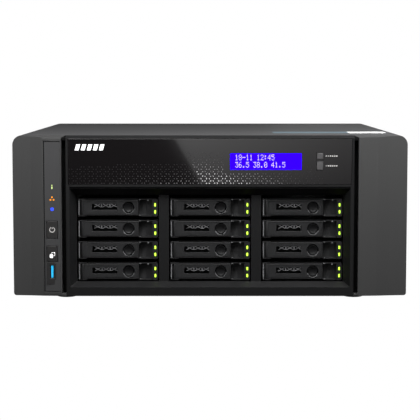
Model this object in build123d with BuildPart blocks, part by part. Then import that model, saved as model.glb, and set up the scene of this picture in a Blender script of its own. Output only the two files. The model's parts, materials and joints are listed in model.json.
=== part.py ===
from build123d import *
import os

# Twelve-bay desktop network storage unit for 2.5-inch drives, in millimetres.
# The front faces -Y, +X is to the right seen from the front and +Z is up.  The origin is the middle of
# the footprint, on the surface that the feet stand on.

os.makedirs("parts", exist_ok=True)

# ---- overall size ------------------------------------------------------------------------------
WIDTH = 368.0
DEPTH = 362.0
FOOT_HEIGHT = 5.0
HEIGHT = 155.0
HALF_W = WIDTH / 2
FRONT = -DEPTH / 2
REAR = DEPTH / 2
BASE = FOOT_HEIGHT
TOP_RADIUS = 9.0
BOTTOM_RADIUS = 2.5
SHEET = 1.2
SLACK = 0.1
SIDE_SEAM = BASE + 4.0
FRONT_SEAM = FRONT + 7.0
INNER_W = HALF_W - SHEET - 0.5
INNER_TOP = HEIGHT - SHEET - 0.5
FLOOR = BASE + SHEET
INNER_BASE = FLOOR + SLACK
BEYOND = 10.0
FLANGE_TOP = 22.0
FLOOR_SLOT = (7.0, 30.0)
FLOOR_SLOT_PITCH = (14.0, 42.0)
FLOOR_SLOTS = (12, 3)
SIDE_VENT = (4.0, 46.0)
SIDE_VENT_PITCH = 8.0
SIDE_VENTS = 9
SIDE_VENT_Y = (-110.0, 70.0)
SIDE_VENT_Z = 62.0
REAR_FLANGE_W = 150.0
REAR_FLANGE_DROP = 13.0
COVER_SCREW_X = (-120.0, 0.0, 120.0)
COVER_SCREW_Z = HEIGHT - 7.5

# ---- front mouldings ---------------------------------------------------------------------------
LIP_DROP = 2.1
MODULE_W = 134.0
PILLAR_W = 138.2
SKIN = 3.5
MOULDING_BACK = FRONT + 15.0
BEZEL_BACK = FRONT + 20.5
GROOVE = (7.3, 150.3)
GROOVE_DEPTH = 9.0
GROOVE_LIP = 4.1
PILLAR_CURVE = ((PILLAR_W, 0.6), (155.7, 1.9), (167.0, 4.0), (176.0, 5.1), (HALF_W, 5.8))
CAP = 2.0

# ---- fascia and its controls -------------------------------------------------------------------
FASCIA_W = 132.0
FASCIA = (109.3, 152.3)
FASCIA_FRONT = FRONT + 0.4
FASCIA_BACK = FRONT + 2.8
SHADOW_GAP = (106.1, 107.3)
SHADOW_DEPTH = 4.0
EDGE = 0.3
LCD_X = (18.6, 85.1)
LCD_Z = (123.1, 138.5)
LCD_RIM = 3.5
FASCIA_GAP = 0.5
KEY_X = (99.1, 105.1)
ENTER_Z = (133.3, 138.7)
SELECT_Z = (123.0, 130.8)
KEY_LENGTH = 6.0
KEY_FLANGE = 1.5
KEY_FLANGE_THICK = 1.2
KEY_GAP = 0.3
KEY_RELIEF = 2.0
CELL_THICK = 6.0

# ---- control strip on the left pillar ----------------------------------------------------------
STRIP_X = (-155.0, -139.3)
STRIP_Z = (8.9, 150.2)
STRIP_THICK = 1.8
POWER_X = (-152.4, -141.8)
POWER_Z = (59.1, 75.4)
COPY_X = (-152.4, -142.1)
COPY_Z = (37.2, 51.9)
USB_PANEL_Z = (15.8, 36.8)
USB_CENTRE = (-147.4, 27.7)
USB_FRONT_WINDOW = (3.6, 7.4)
USB_FRONT_SHELL = (3.3, 7.1)
USB_FRONT_MOUTH = (2.8, 6.6)
USB_FRONT_TONGUE = (-1.5, 0.4)
USB_FRONT_LENGTH = 13.8
STRIP_POCKET = 0.7
PUSH_FRONT = FRONT + 1.1
PUSH_LENGTH = 4.5

# ---- drive bays --------------------------------------------------------------------------------
COLUMN_PITCH = 86.4
COLUMNS = (-COLUMN_PITCH, 0.0, COLUMN_PITCH)
ROW_PITCH = 20.05
ROW_LOW = 27.0
ROWS = tuple(ROW_LOW + ROW_PITCH * (3 - row) for row in range(4))
MOUTH_W = 38.5
MOUTH_Z = (17.7, 99.2)
FUNNEL_W = (130.7, 125.0)
FUNNEL_Z = (13.4, 106.0)
RECESS = FRONT + 9.0

# ---- drive tray, measured from the middle of its face -------------------------------------------
FACE = FRONT + 9.5
TRAY_W = 37.5
TRAY_H = 8.25
LEVER_THICK = 5.2
BLOCK_FRONT = FACE + 5.6
BLOCK_BACK = FACE + 14.0
TRAY_BACK = FACE + 120.0
RAIL = 2.2
TRAY_FLOOR = 1.0
LUG_X = (-35.3, -29.5)
LUG = 0.85
STILE_X = (-TRAY_W, -35.3)
SCOOP_X = (19.7, 32.3)
SCOOP_DEPTH = 9.0
LED_X = (33.9, 36.1)
LED_TALL = 4.4
LED_OFFSET = 3.3
LED_DROP = 0.7
PIPE_LENGTH = 8.0
LEVER_X = (-35.0, 19.3)
LEVER_H = 7.1
HINGE_X = LEVER_X[0] + LEVER_THICK / 2
HINGE_Y = FACE + LEVER_THICK / 2
PIN_R = 0.8
PIN_HOLE_R = 0.88
VENT_X = (-24.2, -0.8)
VENT_Z = (-2.2, 3.5)
BUTTON_X = 10.1
BUTTON_R = 4.5
BUTTON_HOLE_R = 4.8
BUTTON_HEAD = 2.0
BUTTON_SET = 0.2
WEB = 1.3
STEM_R = 1.5
STEM_HOLE_R = 1.6
LATCH_R = 2.6
LATCH_DEPTH = 4.0
AIR_HALF_H = 5.0
RAIL_TOP = 5.0
FLOOR_HOLE_HALF_W = 24.0
FLOOR_HOLE_INSET = 12.0
TRUSS_HOLE_R = 1.6
TRUSS_PITCH = 4.5
TRUSS_HOLES = 5
DISH = (0.8, 0.6)
FIT = 0.05

# ---- drive, 2.5-inch, 15 mm high ----------------------------------------------------------------
DRIVE_W = 69.85
DRIVE_L = 100.2
DRIVE_H = 15.0
DRIVE_FRONT = BLOCK_BACK + 3.0
DRIVE_BACK = DRIVE_FRONT + DRIVE_L
PLUG_W = 44.0
PLUG_H = 5.0
PLUG_DEPTH = 4.0
PLUG_REACH = 2.5

# ---- cage, backplane and boards ------------------------------------------------------------------
CAGE_FRONT = BEZEL_BACK + 0.5
CAGE_WALL = (38.7, 39.9)
CAGE_Z = (15.0, 100.6)
LEDGE = 1.0
CAGE_BACK = DRIVE_BACK + 4.0
PCB = 1.6
BACKPLANE = CAGE_BACK + SLACK
BACKPLANE_HALF_W = 127.0
BACKPLANE_Z = (14.0, 101.0)
AIR_SLOT = (33.0, 3.0)
LEDGE_REACH = 4.0
ROOF_HOLE = (60.0, 12.0)
ROOF_HOLE_PITCH = 26.0
BOARD_Z = 12.0
BOARD_X = (-110.0, 78.0)
BOARD_Y = (-35.0, 155.0)
BOARD_INSET = 6.0
STANDOFF_R = 3.5
MEMORY_X = (40.0, 49.0)
MEMORY_Y = (-3.0, 66.0)
MEMORY_TALL = 32.0
MEMORY_THICK = 0.6
SOCKET_HALF = 3.5
SOCKET_TALL = 5.0
CHIPSET = (-60.0, 110.0)
CHIPSET_HALF = 22.0
CHIPSET_TALL = 6.0
POWER_PLUG = ((-100.0, -88.0), (-20.0, 40.0), 8.0)
CARD_SOCKET = ((64.0, 72.0), (20.0, 110.0), 11.0)
COOLER = (-25.0, 40.0)
COOLER_HALF = (36.0, 38.0)
COOLER_BASE = 8.0
COOLER_TALL = 46.0
FINS = 13
FIN_PITCH = 5.5
FIN_HALF = 0.7

# ---- rear ----------------------------------------------------------------------------------------
PANEL_BACK = REAR - 3.8
PANEL_FRONT = PANEL_BACK - SHEET
INSIDE_BACK = PANEL_FRONT - SLACK
COVER_FLANGE = PANEL_BACK + SLACK
FAN = 92.0
FAN_THICK = 25.0
FAN_X = (-63.5, 30.5)
FAN_Z = 96.5
FAN_BORE_R = 43.5
FAN_HOLES = 82.5
HUB_R = 19.0
MOTOR_R = 18.0
BLADE_R = 41.5
BLADES = 7
SHAFT_R = 1.5
PSU_X = (-178.0, -114.0)
PSU_Z = (8.0, 133.0)
PSU_L = 130.0
PSU_WALL = 1.0
PSU_WINDOW = 3.0
PSU_HOLE = 5.0
PSU_HOLE_PITCH = 8.0
PSU_HOLES_FRONT = (6, 12)
PSU_HOLES_REAR = (6, 7)
PSU_REAR_RISE = 18.0
PSU_BOARD_RISE = (6.0, 8.0)
PSU_PARTS = ((20.0, 9.0, 20.0, 50.0, 60.0), (44.0, 7.0, 15.0, 60.0, 40.0))
INLET = (-146.0, 30.0)
INLET_WINDOW = (14.2, 10.2)
INLET_SHELL = (14.0, 10.0)
INLET_MOUTH = (12.1, 7.9)
INLET_LENGTH = 22.0
INLET_DEPTH = 17.0
INLET_PINS = ((-7, -2), (7, -2), (0, 2))
INLET_PIN_HALF = (1.0, 2.0)
INLET_PIN_SET = 4.0
SLOT_PITCH = 20.32
SLOT_FIRST_X = 99.0
SLOT_Z = (25.0, 130.0)
SLOT_W = 14.5
SLOTS = 4
SLOT_COVER_W = 18.4
SLOT_COVER_THICK = 0.9
SLOT_COVER_LAP = 6.0
SLOT_VENT = (6.0, 24.0)
SLOT_VENT_Z = (45.0, 77.5, 110.0)
GRILLE_RINGS = (43.0, 36.0, 29.0, 22.0)
GRILLE_RING = 5.0
GRILLE_SPOKE = 3.0
FAN_HOLE_R = 2.15
STRUT = 4.0
SHAFT_GAP = 0.06
BLADE = (20.0, 1.6)
BLADE_ANGLE = 40.0
USB_X = (-96.0, -78.0)
USB_REAR_Z = (20.0, 28.0)
USB_WINDOW = (7.2, 3.6)
USB_SHELL = (7.1, 3.3)
USB_MOUTH = (6.6, 2.8)
USB_LENGTH = 17.0
USB_DEPTH = 12.0
USB_TONGUE = (5.6, -0.2, 1.7)
LAN_X = (-52.0, -32.0)
LAN_Z = 20.6
LAN_WINDOW = (8.15, 6.95)
LAN_SHELL = (8.0, 6.8)
LAN_MOUTH = (5.85, 4.4)
LAN_LENGTH = 21.0
LAN_DEPTH = 13.0
SFP_X = (-4.0, 15.0)
SFP_Z = 19.2
SFP_WINDOW = (8.15, 5.55)
SFP_SHELL = (8.0, 5.4)
SFP_MOUTH = (7.1, 4.45)
SFP_LENGTH = 48.0
SFP_DEPTH = 45.0
HEAD_R = 3.0
HEAD = 1.8
SHANK_R = 1.4
SHANK_HOLE_R = 1.6
COVER_SCREW_END = 3.0
FAN_SCREW_END = 12.0
FEET_X = 137.0
FEET_Y = (FRONT + 35.0, REAR - 40.0)
FOOT_R = 10.0
FOOT_CHAMFER = 0.8


def block(x, y, z, mode=Mode.ADD):
    """Add or cut a box that spans three (low, high) ranges."""
    with Locations(((x[0] + x[1]) / 2, (y[0] + y[1]) / 2, (z[0] + z[1]) / 2)):
        Box(x[1] - x[0], y[1] - y[0], z[1] - z[0], mode=mode)


def grown(span, by):
    """A (low, high) range made larger by the same amount at both ends."""
    return (span[0] - by, span[1] + by)


def about(middle, half):
    """The (low, high) range that reaches half either side of a middle."""
    return (middle - half, middle + half)


def upright(y):
    """The plane facing the front at y: its own x and y run along X and Z, and extrusions run to -Y."""
    return Plane.XZ.offset(-y)


def rod(x, z, y, radius, mode=Mode.ADD):
    """Add or cut a round bar along Y over the (low, high) range y."""
    with Locations((x, (y[0] + y[1]) / 2, z)):
        Cylinder(radius, y[1] - y[0], rotation=(90, 0, 0), mode=mode)


def rounded_section(sketch, half_width, low, high, low_radius, high_radius):
    """Draw the cross-section of the case on a sketch, with its own corner radii."""
    with Locations((0, (low + high) / 2)):
        Rectangle(2 * half_width, high - low)
    fillet(sketch.vertices().sort_by(Axis.Y)[:2], low_radius)
    fillet(sketch.vertices().sort_by(Axis.Y)[-2:], high_radius)


def finish(builder, name):
    """Label a finished sub-part and write it out."""
    builder.part.label = name
    export_step(builder.part, f"parts/{name}.step")


# ---- the shape that all the front mouldings are trimmed to -----------------------------------------
with BuildPart() as front_envelope:
    with BuildSketch(upright(FRONT_SEAM - SLACK)) as section:
        rounded_section(section, HALF_W, BASE, HEIGHT, BOTTOM_RADIUS, TOP_RADIUS)
    extrude(amount=FRONT_SEAM - SLACK - FRONT)
    with BuildSketch(upright(BEZEL_BACK)) as section:
        rounded_section(section, INNER_W, INNER_BASE, INNER_TOP, BOTTOM_RADIUS, TOP_RADIUS - SHEET)
    extrude(amount=BEZEL_BACK - FRONT_SEAM + SLACK)
    with BuildSketch(Plane.YZ.offset(-HALF_W)):
        Polygon((FRONT, HEIGHT - LIP_DROP), (FRONT, HEIGHT + 1), (FRONT_SEAM, HEIGHT + 1),
                (FRONT_SEAM, HEIGHT), align=None)
    extrude(amount=WIDTH, mode=Mode.SUBTRACT)


# ---- casing ------------------------------------------------------------------------------------
def make_base_pan():
    """Floor of the case, with a rolled rim that meets the cover and inner flanges for its screws."""
    with BuildPart() as base_pan:
        with BuildSketch(upright(PANEL_BACK)) as section:
            rounded_section(section, HALF_W, BASE, SIDE_SEAM + BOTTOM_RADIUS, BOTTOM_RADIUS, 1.0)
        extrude(amount=PANEL_BACK - FRONT_SEAM)
        block((-HALF_W + SHEET, HALF_W - SHEET), (FRONT_SEAM, PANEL_BACK), (FLOOR, HEIGHT), Mode.SUBTRACT)
        block((-HALF_W, HALF_W), (FRONT_SEAM, PANEL_BACK), (SIDE_SEAM, HEIGHT), Mode.SUBTRACT)
        for side in (-1, 1):
            flange = sorted((side * (INNER_W - SHEET), side * INNER_W))
            block(flange, (BEZEL_BACK + CAP, INSIDE_BACK - CAP), (FLOOR - SLACK, FLANGE_TOP))
        with GridLocations(*FLOOR_SLOT_PITCH, *FLOOR_SLOTS):
            Box(*FLOOR_SLOT, 2 * SIDE_SEAM, mode=Mode.SUBTRACT)
    finish(base_pan, "base_pan")


def make_top_cover():
    """Wrap-round steel cover: top and both sides, side vents, and a rear flange for its screws."""
    with BuildPart() as top_cover:
        with BuildSketch(upright(REAR)) as section:
            rounded_section(section, HALF_W, BASE, HEIGHT, BOTTOM_RADIUS, TOP_RADIUS)
        extrude(amount=REAR - FRONT_SEAM)
        with BuildSketch(upright(REAR)) as section:
            low, high = BASE - BEYOND, HEIGHT - SHEET
            rounded_section(section, HALF_W - SHEET, low, high, BOTTOM_RADIUS, TOP_RADIUS - SHEET)
        extrude(amount=REAR - FRONT_SEAM, mode=Mode.SUBTRACT)
        block((-HALF_W, HALF_W), (FRONT_SEAM, REAR), (0, SIDE_SEAM + SLACK), Mode.SUBTRACT)
        flange_z = (HEIGHT - REAR_FLANGE_DROP, HEIGHT - SHEET / 2)
        block(about(0, REAR_FLANGE_W), (COVER_FLANGE, COVER_FLANGE + SHEET), flange_z)
        for x in COVER_SCREW_X:
            rod(x, COVER_SCREW_Z, (PANEL_FRONT, REAR), SHANK_HOLE_R, Mode.SUBTRACT)
        for y in SIDE_VENT_Y:
            with Locations((0, y, SIDE_VENT_Z)):
                with GridLocations(WIDTH, SIDE_VENT_PITCH, 2, SIDE_VENTS):
                    Box(BEYOND, *SIDE_VENT, mode=Mode.SUBTRACT)
    finish(top_cover, "top_cover")


def make_rear_panel():
    """Rear wall with fan grilles, port cut-outs, the supply's window and four slot covers."""
    with BuildPart() as rear_panel:
        with BuildSketch(upright(PANEL_BACK)) as section:
            rounded_section(section, INNER_W, INNER_BASE, INNER_TOP, BOTTOM_RADIUS, TOP_RADIUS - SHEET)
        extrude(amount=SHEET)
        through = (PANEL_FRONT - 1, PANEL_BACK + 1)
        block(grown(PSU_X, -PSU_WINDOW), through, grown(PSU_Z, -PSU_WINDOW), Mode.SUBTRACT)
        for x in FAN_X:
            with BuildSketch(upright(PANEL_BACK)):
                with Locations((x, FAN_Z)):
                    for outer in GRILLE_RINGS:
                        Circle(outer)
                        Circle(outer - GRILLE_RING, mode=Mode.SUBTRACT)
                    with PolarLocations(0, 2, start_angle=45):
                        Rectangle(FAN + BEYOND, GRILLE_SPOKE, mode=Mode.SUBTRACT)
            extrude(amount=SHEET, mode=Mode.SUBTRACT)
            for dx, dz in corners(FAN_HOLES):
                rod(x + dx, FAN_Z + dz, through, SHANK_HOLE_R, Mode.SUBTRACT)
        windows = [(x, z, USB_WINDOW) for x in USB_X for z in USB_REAR_Z]
        windows += [(x, LAN_Z, LAN_WINDOW) for x in LAN_X]
        windows += [(x, SFP_Z, SFP_WINDOW) for x in SFP_X]
        for x, z, half in windows:
            block(about(x, half[0]), through, about(z, half[1]), Mode.SUBTRACT)
        for x in COVER_SCREW_X:
            rod(x, COVER_SCREW_Z, through, SHANK_HOLE_R, Mode.SUBTRACT)
        cover_y = (INSIDE_BACK - SLOT_COVER_THICK, INSIDE_BACK)
        for index in range(SLOTS):
            x = SLOT_FIRST_X + index * SLOT_PITCH
            block(about(x, SLOT_W / 2), through, SLOT_Z, Mode.SUBTRACT)
            block(about(x, SLOT_COVER_W / 2), cover_y, grown(SLOT_Z, SLOT_COVER_LAP))
            for z in SLOT_VENT_Z:
                block(about(x, SLOT_VENT[0] / 2), cover_y, about(z, SLOT_VENT[1] / 2), Mode.SUBTRACT)
    finish(rear_panel, "rear_panel")


def corners(size):
    """The four corner offsets of a square of that size."""
    return [(sx * size / 2, sz * size / 2) for sx in (-1, 1) for sz in (-1, 1)]


# ---- front mouldings -----------------------------------------------------------------------------
def make_pillars():
    """The two faceted end mouldings; the left one is pocketed for the control strip."""
    front_line = [(PILLAR_W - GROOVE_LIP, FASCIA_FRONT)]
    front_line += [(x, FRONT + back) for x, back in PILLAR_CURVE]
    back_line = [(HALF_W, MOULDING_BACK), (MODULE_W + SLACK, MOULDING_BACK)]
    hollow_line = [(PILLAR_W + CAP, FRONT + SKIN + 1)]
    hollow_line += [(x, FRONT + back + SKIN) for x, back in PILLAR_CURVE[1:-1]]
    hollow_line += [(INNER_W - CAP, FRONT + PILLAR_CURVE[-1][1] + SKIN)]
    hollow_line += [(INNER_W - CAP, MOULDING_BACK), (PILLAR_W + CAP, MOULDING_BACK)]
    with BuildPart() as right_pillar:
        with BuildSketch(Plane.XY.offset(BASE)):
            Polygon(*front_line, *back_line, align=None)
        extrude(amount=HEIGHT - BASE)
        with BuildSketch(Plane.XY.offset(INNER_BASE + CAP)):
            Polygon(*hollow_line, align=None)
        extrude(amount=INNER_TOP - INNER_BASE - 2 * CAP, mode=Mode.SUBTRACT)
        block((MODULE_W, PILLAR_W), (FRONT, FRONT + GROOVE_DEPTH), GROOVE, Mode.SUBTRACT)
        add(front_envelope.part, mode=Mode.INTERSECT)
    finish(right_pillar, "right_pillar")
    with BuildPart() as left_pillar:
        add(right_pillar.part.mirror(Plane.YZ))
        with BuildSketch(Plane.XY.offset(STRIP_Z[0])):
            seat = [(x, strip_y(x) + STRIP_THICK) for x in STRIP_X]
            Polygon((STRIP_X[1], FRONT), (STRIP_X[0], FRONT), *seat, align=None)
        extrude(amount=STRIP_Z[1] - STRIP_Z[0], mode=Mode.SUBTRACT)
        for z in (POWER_Z, (USB_PANEL_Z[0], COPY_Z[1])):
            deep = (FRONT, MOULDING_BACK)
            block(grown(POWER_X, STRIP_POCKET), deep, grown(z, STRIP_POCKET), Mode.SUBTRACT)
    finish(left_pillar, "left_pillar")


def strip_y(x):
    """Depth of the pillar's first facet at x, which the control strip follows."""
    (near_x, near), (far_x, far) = PILLAR_CURVE[:2]
    return FRONT + near + (abs(x) - near_x) * (far - near) / (far_x - near_x)


def make_control_strip():
    """Thin strip let into the left pillar, with openings for two push buttons and a port."""
    low, high = STRIP_X[0] + SLACK, STRIP_X[1] - SLACK
    with BuildPart() as control_strip:
        with BuildSketch(Plane.XY.offset(STRIP_Z[0] + SLACK)):
            Polygon((low, strip_y(low)), (high, strip_y(high)),
                    (high, strip_y(high) + STRIP_THICK - SLACK),
                    (low, strip_y(low) + STRIP_THICK - SLACK), align=None)
        extrude(amount=STRIP_Z[1] - STRIP_Z[0] - 2 * SLACK)
        deep = (FRONT, FRONT + BEYOND)
        block(grown(POWER_X, KEY_GAP), deep, grown(POWER_Z, KEY_GAP), Mode.SUBTRACT)
        block(grown(COPY_X, KEY_GAP), deep, grown(COPY_Z, KEY_GAP), Mode.SUBTRACT)
        port = [about(middle, half) for middle, half in zip(USB_CENTRE, USB_FRONT_WINDOW)]
        block(port[0], deep, port[1], Mode.SUBTRACT)
    finish(control_strip, "control_strip")


def make_bay_bezel():
    """Centre moulding: fascia seat above, and a funnel into three drive columns below."""
    back = (FASCIA_BACK + CAP, BEZEL_BACK)
    with BuildPart() as bay_bezel:
        block((-MODULE_W, MODULE_W), (FRONT, BEZEL_BACK), (BASE, HEIGHT))
        block((-FASCIA_W, FASCIA_W), (FRONT, FASCIA_BACK), FASCIA, Mode.SUBTRACT)
        block(about(0, FUNNEL_W[0]), back, (FUNNEL_Z[1] - CAP, INNER_TOP - CAP), Mode.SUBTRACT)
        block(about(0, FUNNEL_W[0]), (FRONT, FRONT + SHADOW_DEPTH), SHADOW_GAP, Mode.SUBTRACT)
        with BuildSketch(upright(FRONT)):
            with Locations((0, sum(FUNNEL_Z) / 2)):
                Rectangle(2 * FUNNEL_W[0], FUNNEL_Z[1] - FUNNEL_Z[0])
        with BuildSketch(upright(RECESS)):
            with Locations((0, sum(MOUTH_Z) / 2)):
                Rectangle(2 * FUNNEL_W[1], MOUTH_Z[1] - MOUTH_Z[0])
        loft(mode=Mode.SUBTRACT)
        for x in COLUMNS:
            block(about(x, MOUTH_W), (RECESS - 1, BEZEL_BACK), MOUTH_Z, Mode.SUBTRACT)
        behind = (FASCIA_BACK - 1, BEZEL_BACK)
        keys_z = grown((SELECT_Z[0], ENTER_Z[1]), KEY_RELIEF)
        block(grown(LCD_X, LCD_RIM + FASCIA_GAP), behind, grown(LCD_Z, LCD_RIM), Mode.SUBTRACT)
        block(grown(KEY_X, KEY_RELIEF), behind, keys_z, Mode.SUBTRACT)
        add(front_envelope.part, mode=Mode.INTERSECT)
    finish(bay_bezel, "bay_bezel")


def make_front_fascia():
    """Gloss panel above the bays, with a display window and two key holes."""
    with BuildPart() as front_fascia:
        block(about(0, FASCIA_W - SLACK), (FASCIA_FRONT, FASCIA_BACK - SLACK), grown(FASCIA, -SLACK))
        chamfer(front_fascia.faces().sort_by(Axis.Y)[0].edges(), EDGE)
        deep = (FRONT, FRONT + BEYOND)
        block(grown(LCD_X, SLACK), deep, grown(LCD_Z, SLACK), Mode.SUBTRACT)
        for z in (ENTER_Z, SELECT_Z):
            block(grown(KEY_X, KEY_GAP), deep, grown(z, KEY_GAP), Mode.SUBTRACT)
    finish(front_fascia, "front_fascia")


def make_lcd_module():
    """Two-line display: window, glass cell and driver board."""
    with BuildPart() as lcd_module:
        block(LCD_X, (FASCIA_FRONT + SLACK, FASCIA_BACK), LCD_Z)
        cell = (FASCIA_BACK + SLACK, FASCIA_BACK + CELL_THICK)
        board = (cell[1] + SLACK, cell[1] + SLACK + PCB)
        for layer in (cell, board):
            block(grown(LCD_X, LCD_RIM), layer, grown(LCD_Z, LCD_RIM - FASCIA_GAP))
    finish(lcd_module, "lcd_module")


def make_push_button(name, x, z, front, length, flange):
    """A rectangular key; a flange behind its surround keeps it in."""
    with BuildPart() as button:
        block(x, (front, front + length), z)
        chamfer(button.faces().sort_by(Axis.Y)[0].edges(), EDGE)
        block(grown(x, flange), (front + length - KEY_FLANGE_THICK, front + length), z)
    finish(button, name)


# ---- drive bays ------------------------------------------------------------------------------------
def make_drive_cage():
    """Sheet-metal cage: six upright walls with a ledge under each tray, a floor and a roof."""
    span = COLUMN_PITCH + CAGE_WALL[1]
    with BuildPart() as drive_cage:
        for z in CAGE_Z:
            block((-span, span), (CAGE_FRONT, CAGE_BACK), (z, z + SHEET))
        for column in COLUMNS:
            for side in (-1, 1):
                wall = sorted((column + side * CAGE_WALL[0], column + side * CAGE_WALL[1]))
                block(wall, (CAGE_FRONT, CAGE_BACK), (FLOOR + SLACK, CAGE_Z[1] + SHEET))
                inner = CAGE_WALL[0] - LEDGE_REACH
                ledge = sorted((column + side * inner, column + side * CAGE_WALL[1]))
                for row in ROWS:
                    below = row - TRAY_H - SLACK
                    block(ledge, (BLOCK_BACK + LEDGE_REACH, CAGE_BACK), (below - LEDGE, below))
        with Locations((0, (CAGE_FRONT + CAGE_BACK) / 2, CAGE_Z[1])):
            with GridLocations(COLUMN_PITCH, ROOF_HOLE_PITCH, len(COLUMNS), len(ROWS)):
                Box(*ROOF_HOLE, 2 * LEDGE_REACH, mode=Mode.SUBTRACT)
    finish(drive_cage, "drive_cage")


def make_backplane():
    """Upright board behind the cage, slotted for air, with one connector for each drive."""
    with BuildPart() as backplane:
        board = (BACKPLANE, BACKPLANE + PCB)
        block(about(0, BACKPLANE_HALF_W), board, BACKPLANE_Z)
        for column in COLUMNS:
            for row in ROWS:
                slot = about(row + ROW_PITCH / 2, AIR_SLOT[1])
                block(about(column, AIR_SLOT[0]), board, slot, Mode.SUBTRACT)
                plug = (DRIVE_BACK - PLUG_REACH, BACKPLANE)
                block(about(column, PLUG_W / 2 - 1), plug, about(row, PLUG_H / 2 - 1))
    finish(backplane, "backplane")


def make_tray(name, column, row):
    """Tray front with lugs, scoop and light pipes, its floor and rails, and the drive in it."""
    left, right = column - TRAY_W, column + TRAY_W
    low, high = row - TRAY_H, row + TRAY_H
    with BuildPart() as tray:
        block((left, right), (BLOCK_FRONT, BLOCK_BACK), (low, high))
        block((column + STILE_X[0], column + STILE_X[1]), (FACE, BLOCK_FRONT), (low, high))
        block((column + SCOOP_X[0], right), (FACE, BLOCK_FRONT), (low, high))
        scoop = (column + SCOOP_X[0] - SLACK, column + SCOOP_X[1])
        block(scoop, (FACE, FACE + SCOOP_DEPTH), (low + TRAY_FLOOR, high - TRAY_FLOOR), Mode.SUBTRACT)
        for z in ((low, low + LUG), (high - LUG, high)):
            block((column + LUG_X[0], column + LUG_X[1]), (FACE, BLOCK_FRONT), z)
        air = (column + VENT_X[0], column + VENT_X[1])
        block(air, (BLOCK_FRONT, BLOCK_BACK), about(row, AIR_HALF_H), Mode.SUBTRACT)
        rod(column + BUTTON_X, row, (BLOCK_FRONT, BLOCK_FRONT + LATCH_DEPTH), LATCH_R, Mode.SUBTRACT)
        for side in (-1, 1):
            rail = sorted((column + side * (TRAY_W - RAIL), column + side * TRAY_W))
            block(rail, (BLOCK_BACK, TRAY_BACK), (low, row + RAIL_TOP))
        block((left, right), (BLOCK_BACK, TRAY_BACK), (low, low + TRAY_FLOOR))
        hole_y = (BLOCK_BACK + FLOOR_HOLE_INSET, TRAY_BACK - FLOOR_HOLE_INSET)
        block(about(column, FLOOR_HOLE_HALF_W), hole_y, (low, low + TRAY_FLOOR), Mode.SUBTRACT)
        for dz in (-LED_OFFSET, LED_OFFSET):
            hole = about(row - LED_DROP + dz, LED_TALL / 2)
            led_x = (column + LED_X[0], column + LED_X[1])
            block(led_x, (FACE, FACE + PIPE_LENGTH), hole, Mode.SUBTRACT)
            block(grown(led_x, -FIT), (FACE, FACE + PIPE_LENGTH - FIT), grown(hole, -FIT))
        with BuildSketch(Plane.XY.offset(low)):
            with Locations((column + HINGE_X, HINGE_Y)):
                Circle(PIN_R)
        extrude(amount=2 * TRAY_H)
        drive_low = low + TRAY_FLOOR + FIT
        block(about(column, DRIVE_W / 2), (DRIVE_FRONT, DRIVE_BACK), (drive_low, drive_low + DRIVE_H))
        plug = (DRIVE_BACK - PLUG_DEPTH, DRIVE_BACK)
        block(about(column, PLUG_W / 2), plug, about(row, PLUG_H / 2), Mode.SUBTRACT)
    finish(tray, name)


def make_lever(name, column, row):
    """Swing lever on the tray front: rounded hinge end, air vents and a stepped button hole."""
    back = FACE + LEVER_THICK
    with BuildPart() as lever:
        with BuildSketch(Plane.XY.offset(row - LEVER_H)):
            with Locations((column + (HINGE_X + LEVER_X[1]) / 2, HINGE_Y)):
                Rectangle(LEVER_X[1] - HINGE_X, LEVER_THICK)
            with Locations((column + HINGE_X, HINGE_Y)):
                Circle(LEVER_THICK / 2)
                Circle(PIN_HOLE_R, mode=Mode.SUBTRACT)
        extrude(amount=2 * LEVER_H)
        slot_x = (column + VENT_X[0], column + VENT_X[1])
        block(slot_x, (FACE, back), (row + VENT_Z[0], row), Mode.SUBTRACT)
        with BuildSketch(upright(back)):
            with Locations((column + sum(VENT_X) / 2, row + VENT_Z[1] / 2)):
                with GridLocations(TRUSS_PITCH, 1, TRUSS_HOLES, 1):
                    RegularPolygon(TRUSS_HOLE_R, 4)
        extrude(amount=LEVER_THICK, mode=Mode.SUBTRACT)
        rod(column + BUTTON_X, row, (FACE, back - WEB), BUTTON_HOLE_R, Mode.SUBTRACT)
        rod(column + BUTTON_X, row, (FACE, back), STEM_HOLE_R, Mode.SUBTRACT)
    finish(lever, name)


def make_tray_button(name, column, row):
    """Round dished release button with a stem that reaches through the lever."""
    front = FACE + BUTTON_SET
    with BuildPart() as button:
        rod(column + BUTTON_X, row, (front, front + BUTTON_HEAD), BUTTON_R)
        rod(column + BUTTON_X, row, (front + BUTTON_HEAD, FACE + LEVER_THICK - KEY_GAP), STEM_R)
        rod(column + BUTTON_X, row, (front, front + DISH[1]), BUTTON_R - DISH[0], Mode.SUBTRACT)
    finish(button, name)


# ---- inside the case -------------------------------------------------------------------------------
def make_motherboard():
    """Main board on standoffs, with memory, connectors and two add-on sockets."""
    top = BOARD_Z + PCB
    with BuildPart() as motherboard:
        block(BOARD_X, BOARD_Y, (BOARD_Z, top))
        for x in (BOARD_X[0] + BOARD_INSET, sum(BOARD_X) / 2, BOARD_X[1] - BOARD_INSET):
            for y in (BOARD_Y[0] + BOARD_INSET, sum(BOARD_Y) / 2, BOARD_Y[1] - BOARD_INSET):
                with Locations((x, y, (INNER_BASE + BOARD_Z) / 2)):
                    Cylinder(STANDOFF_R, BOARD_Z - INNER_BASE)
        for x in MEMORY_X:
            block(about(x, SOCKET_HALF), grown(MEMORY_Y, 2), (top, top + SOCKET_TALL))
            block(about(x, MEMORY_THICK), MEMORY_Y, (top + SOCKET_TALL + FIT, top + MEMORY_TALL))
        chip = [about(middle, CHIPSET_HALF) for middle in CHIPSET]
        block(*chip, (top, top + CHIPSET_TALL))
        for x, y, tall in (POWER_PLUG, CARD_SOCKET):
            block(x, y, (top, top + tall))
    finish(motherboard, "motherboard")


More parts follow.
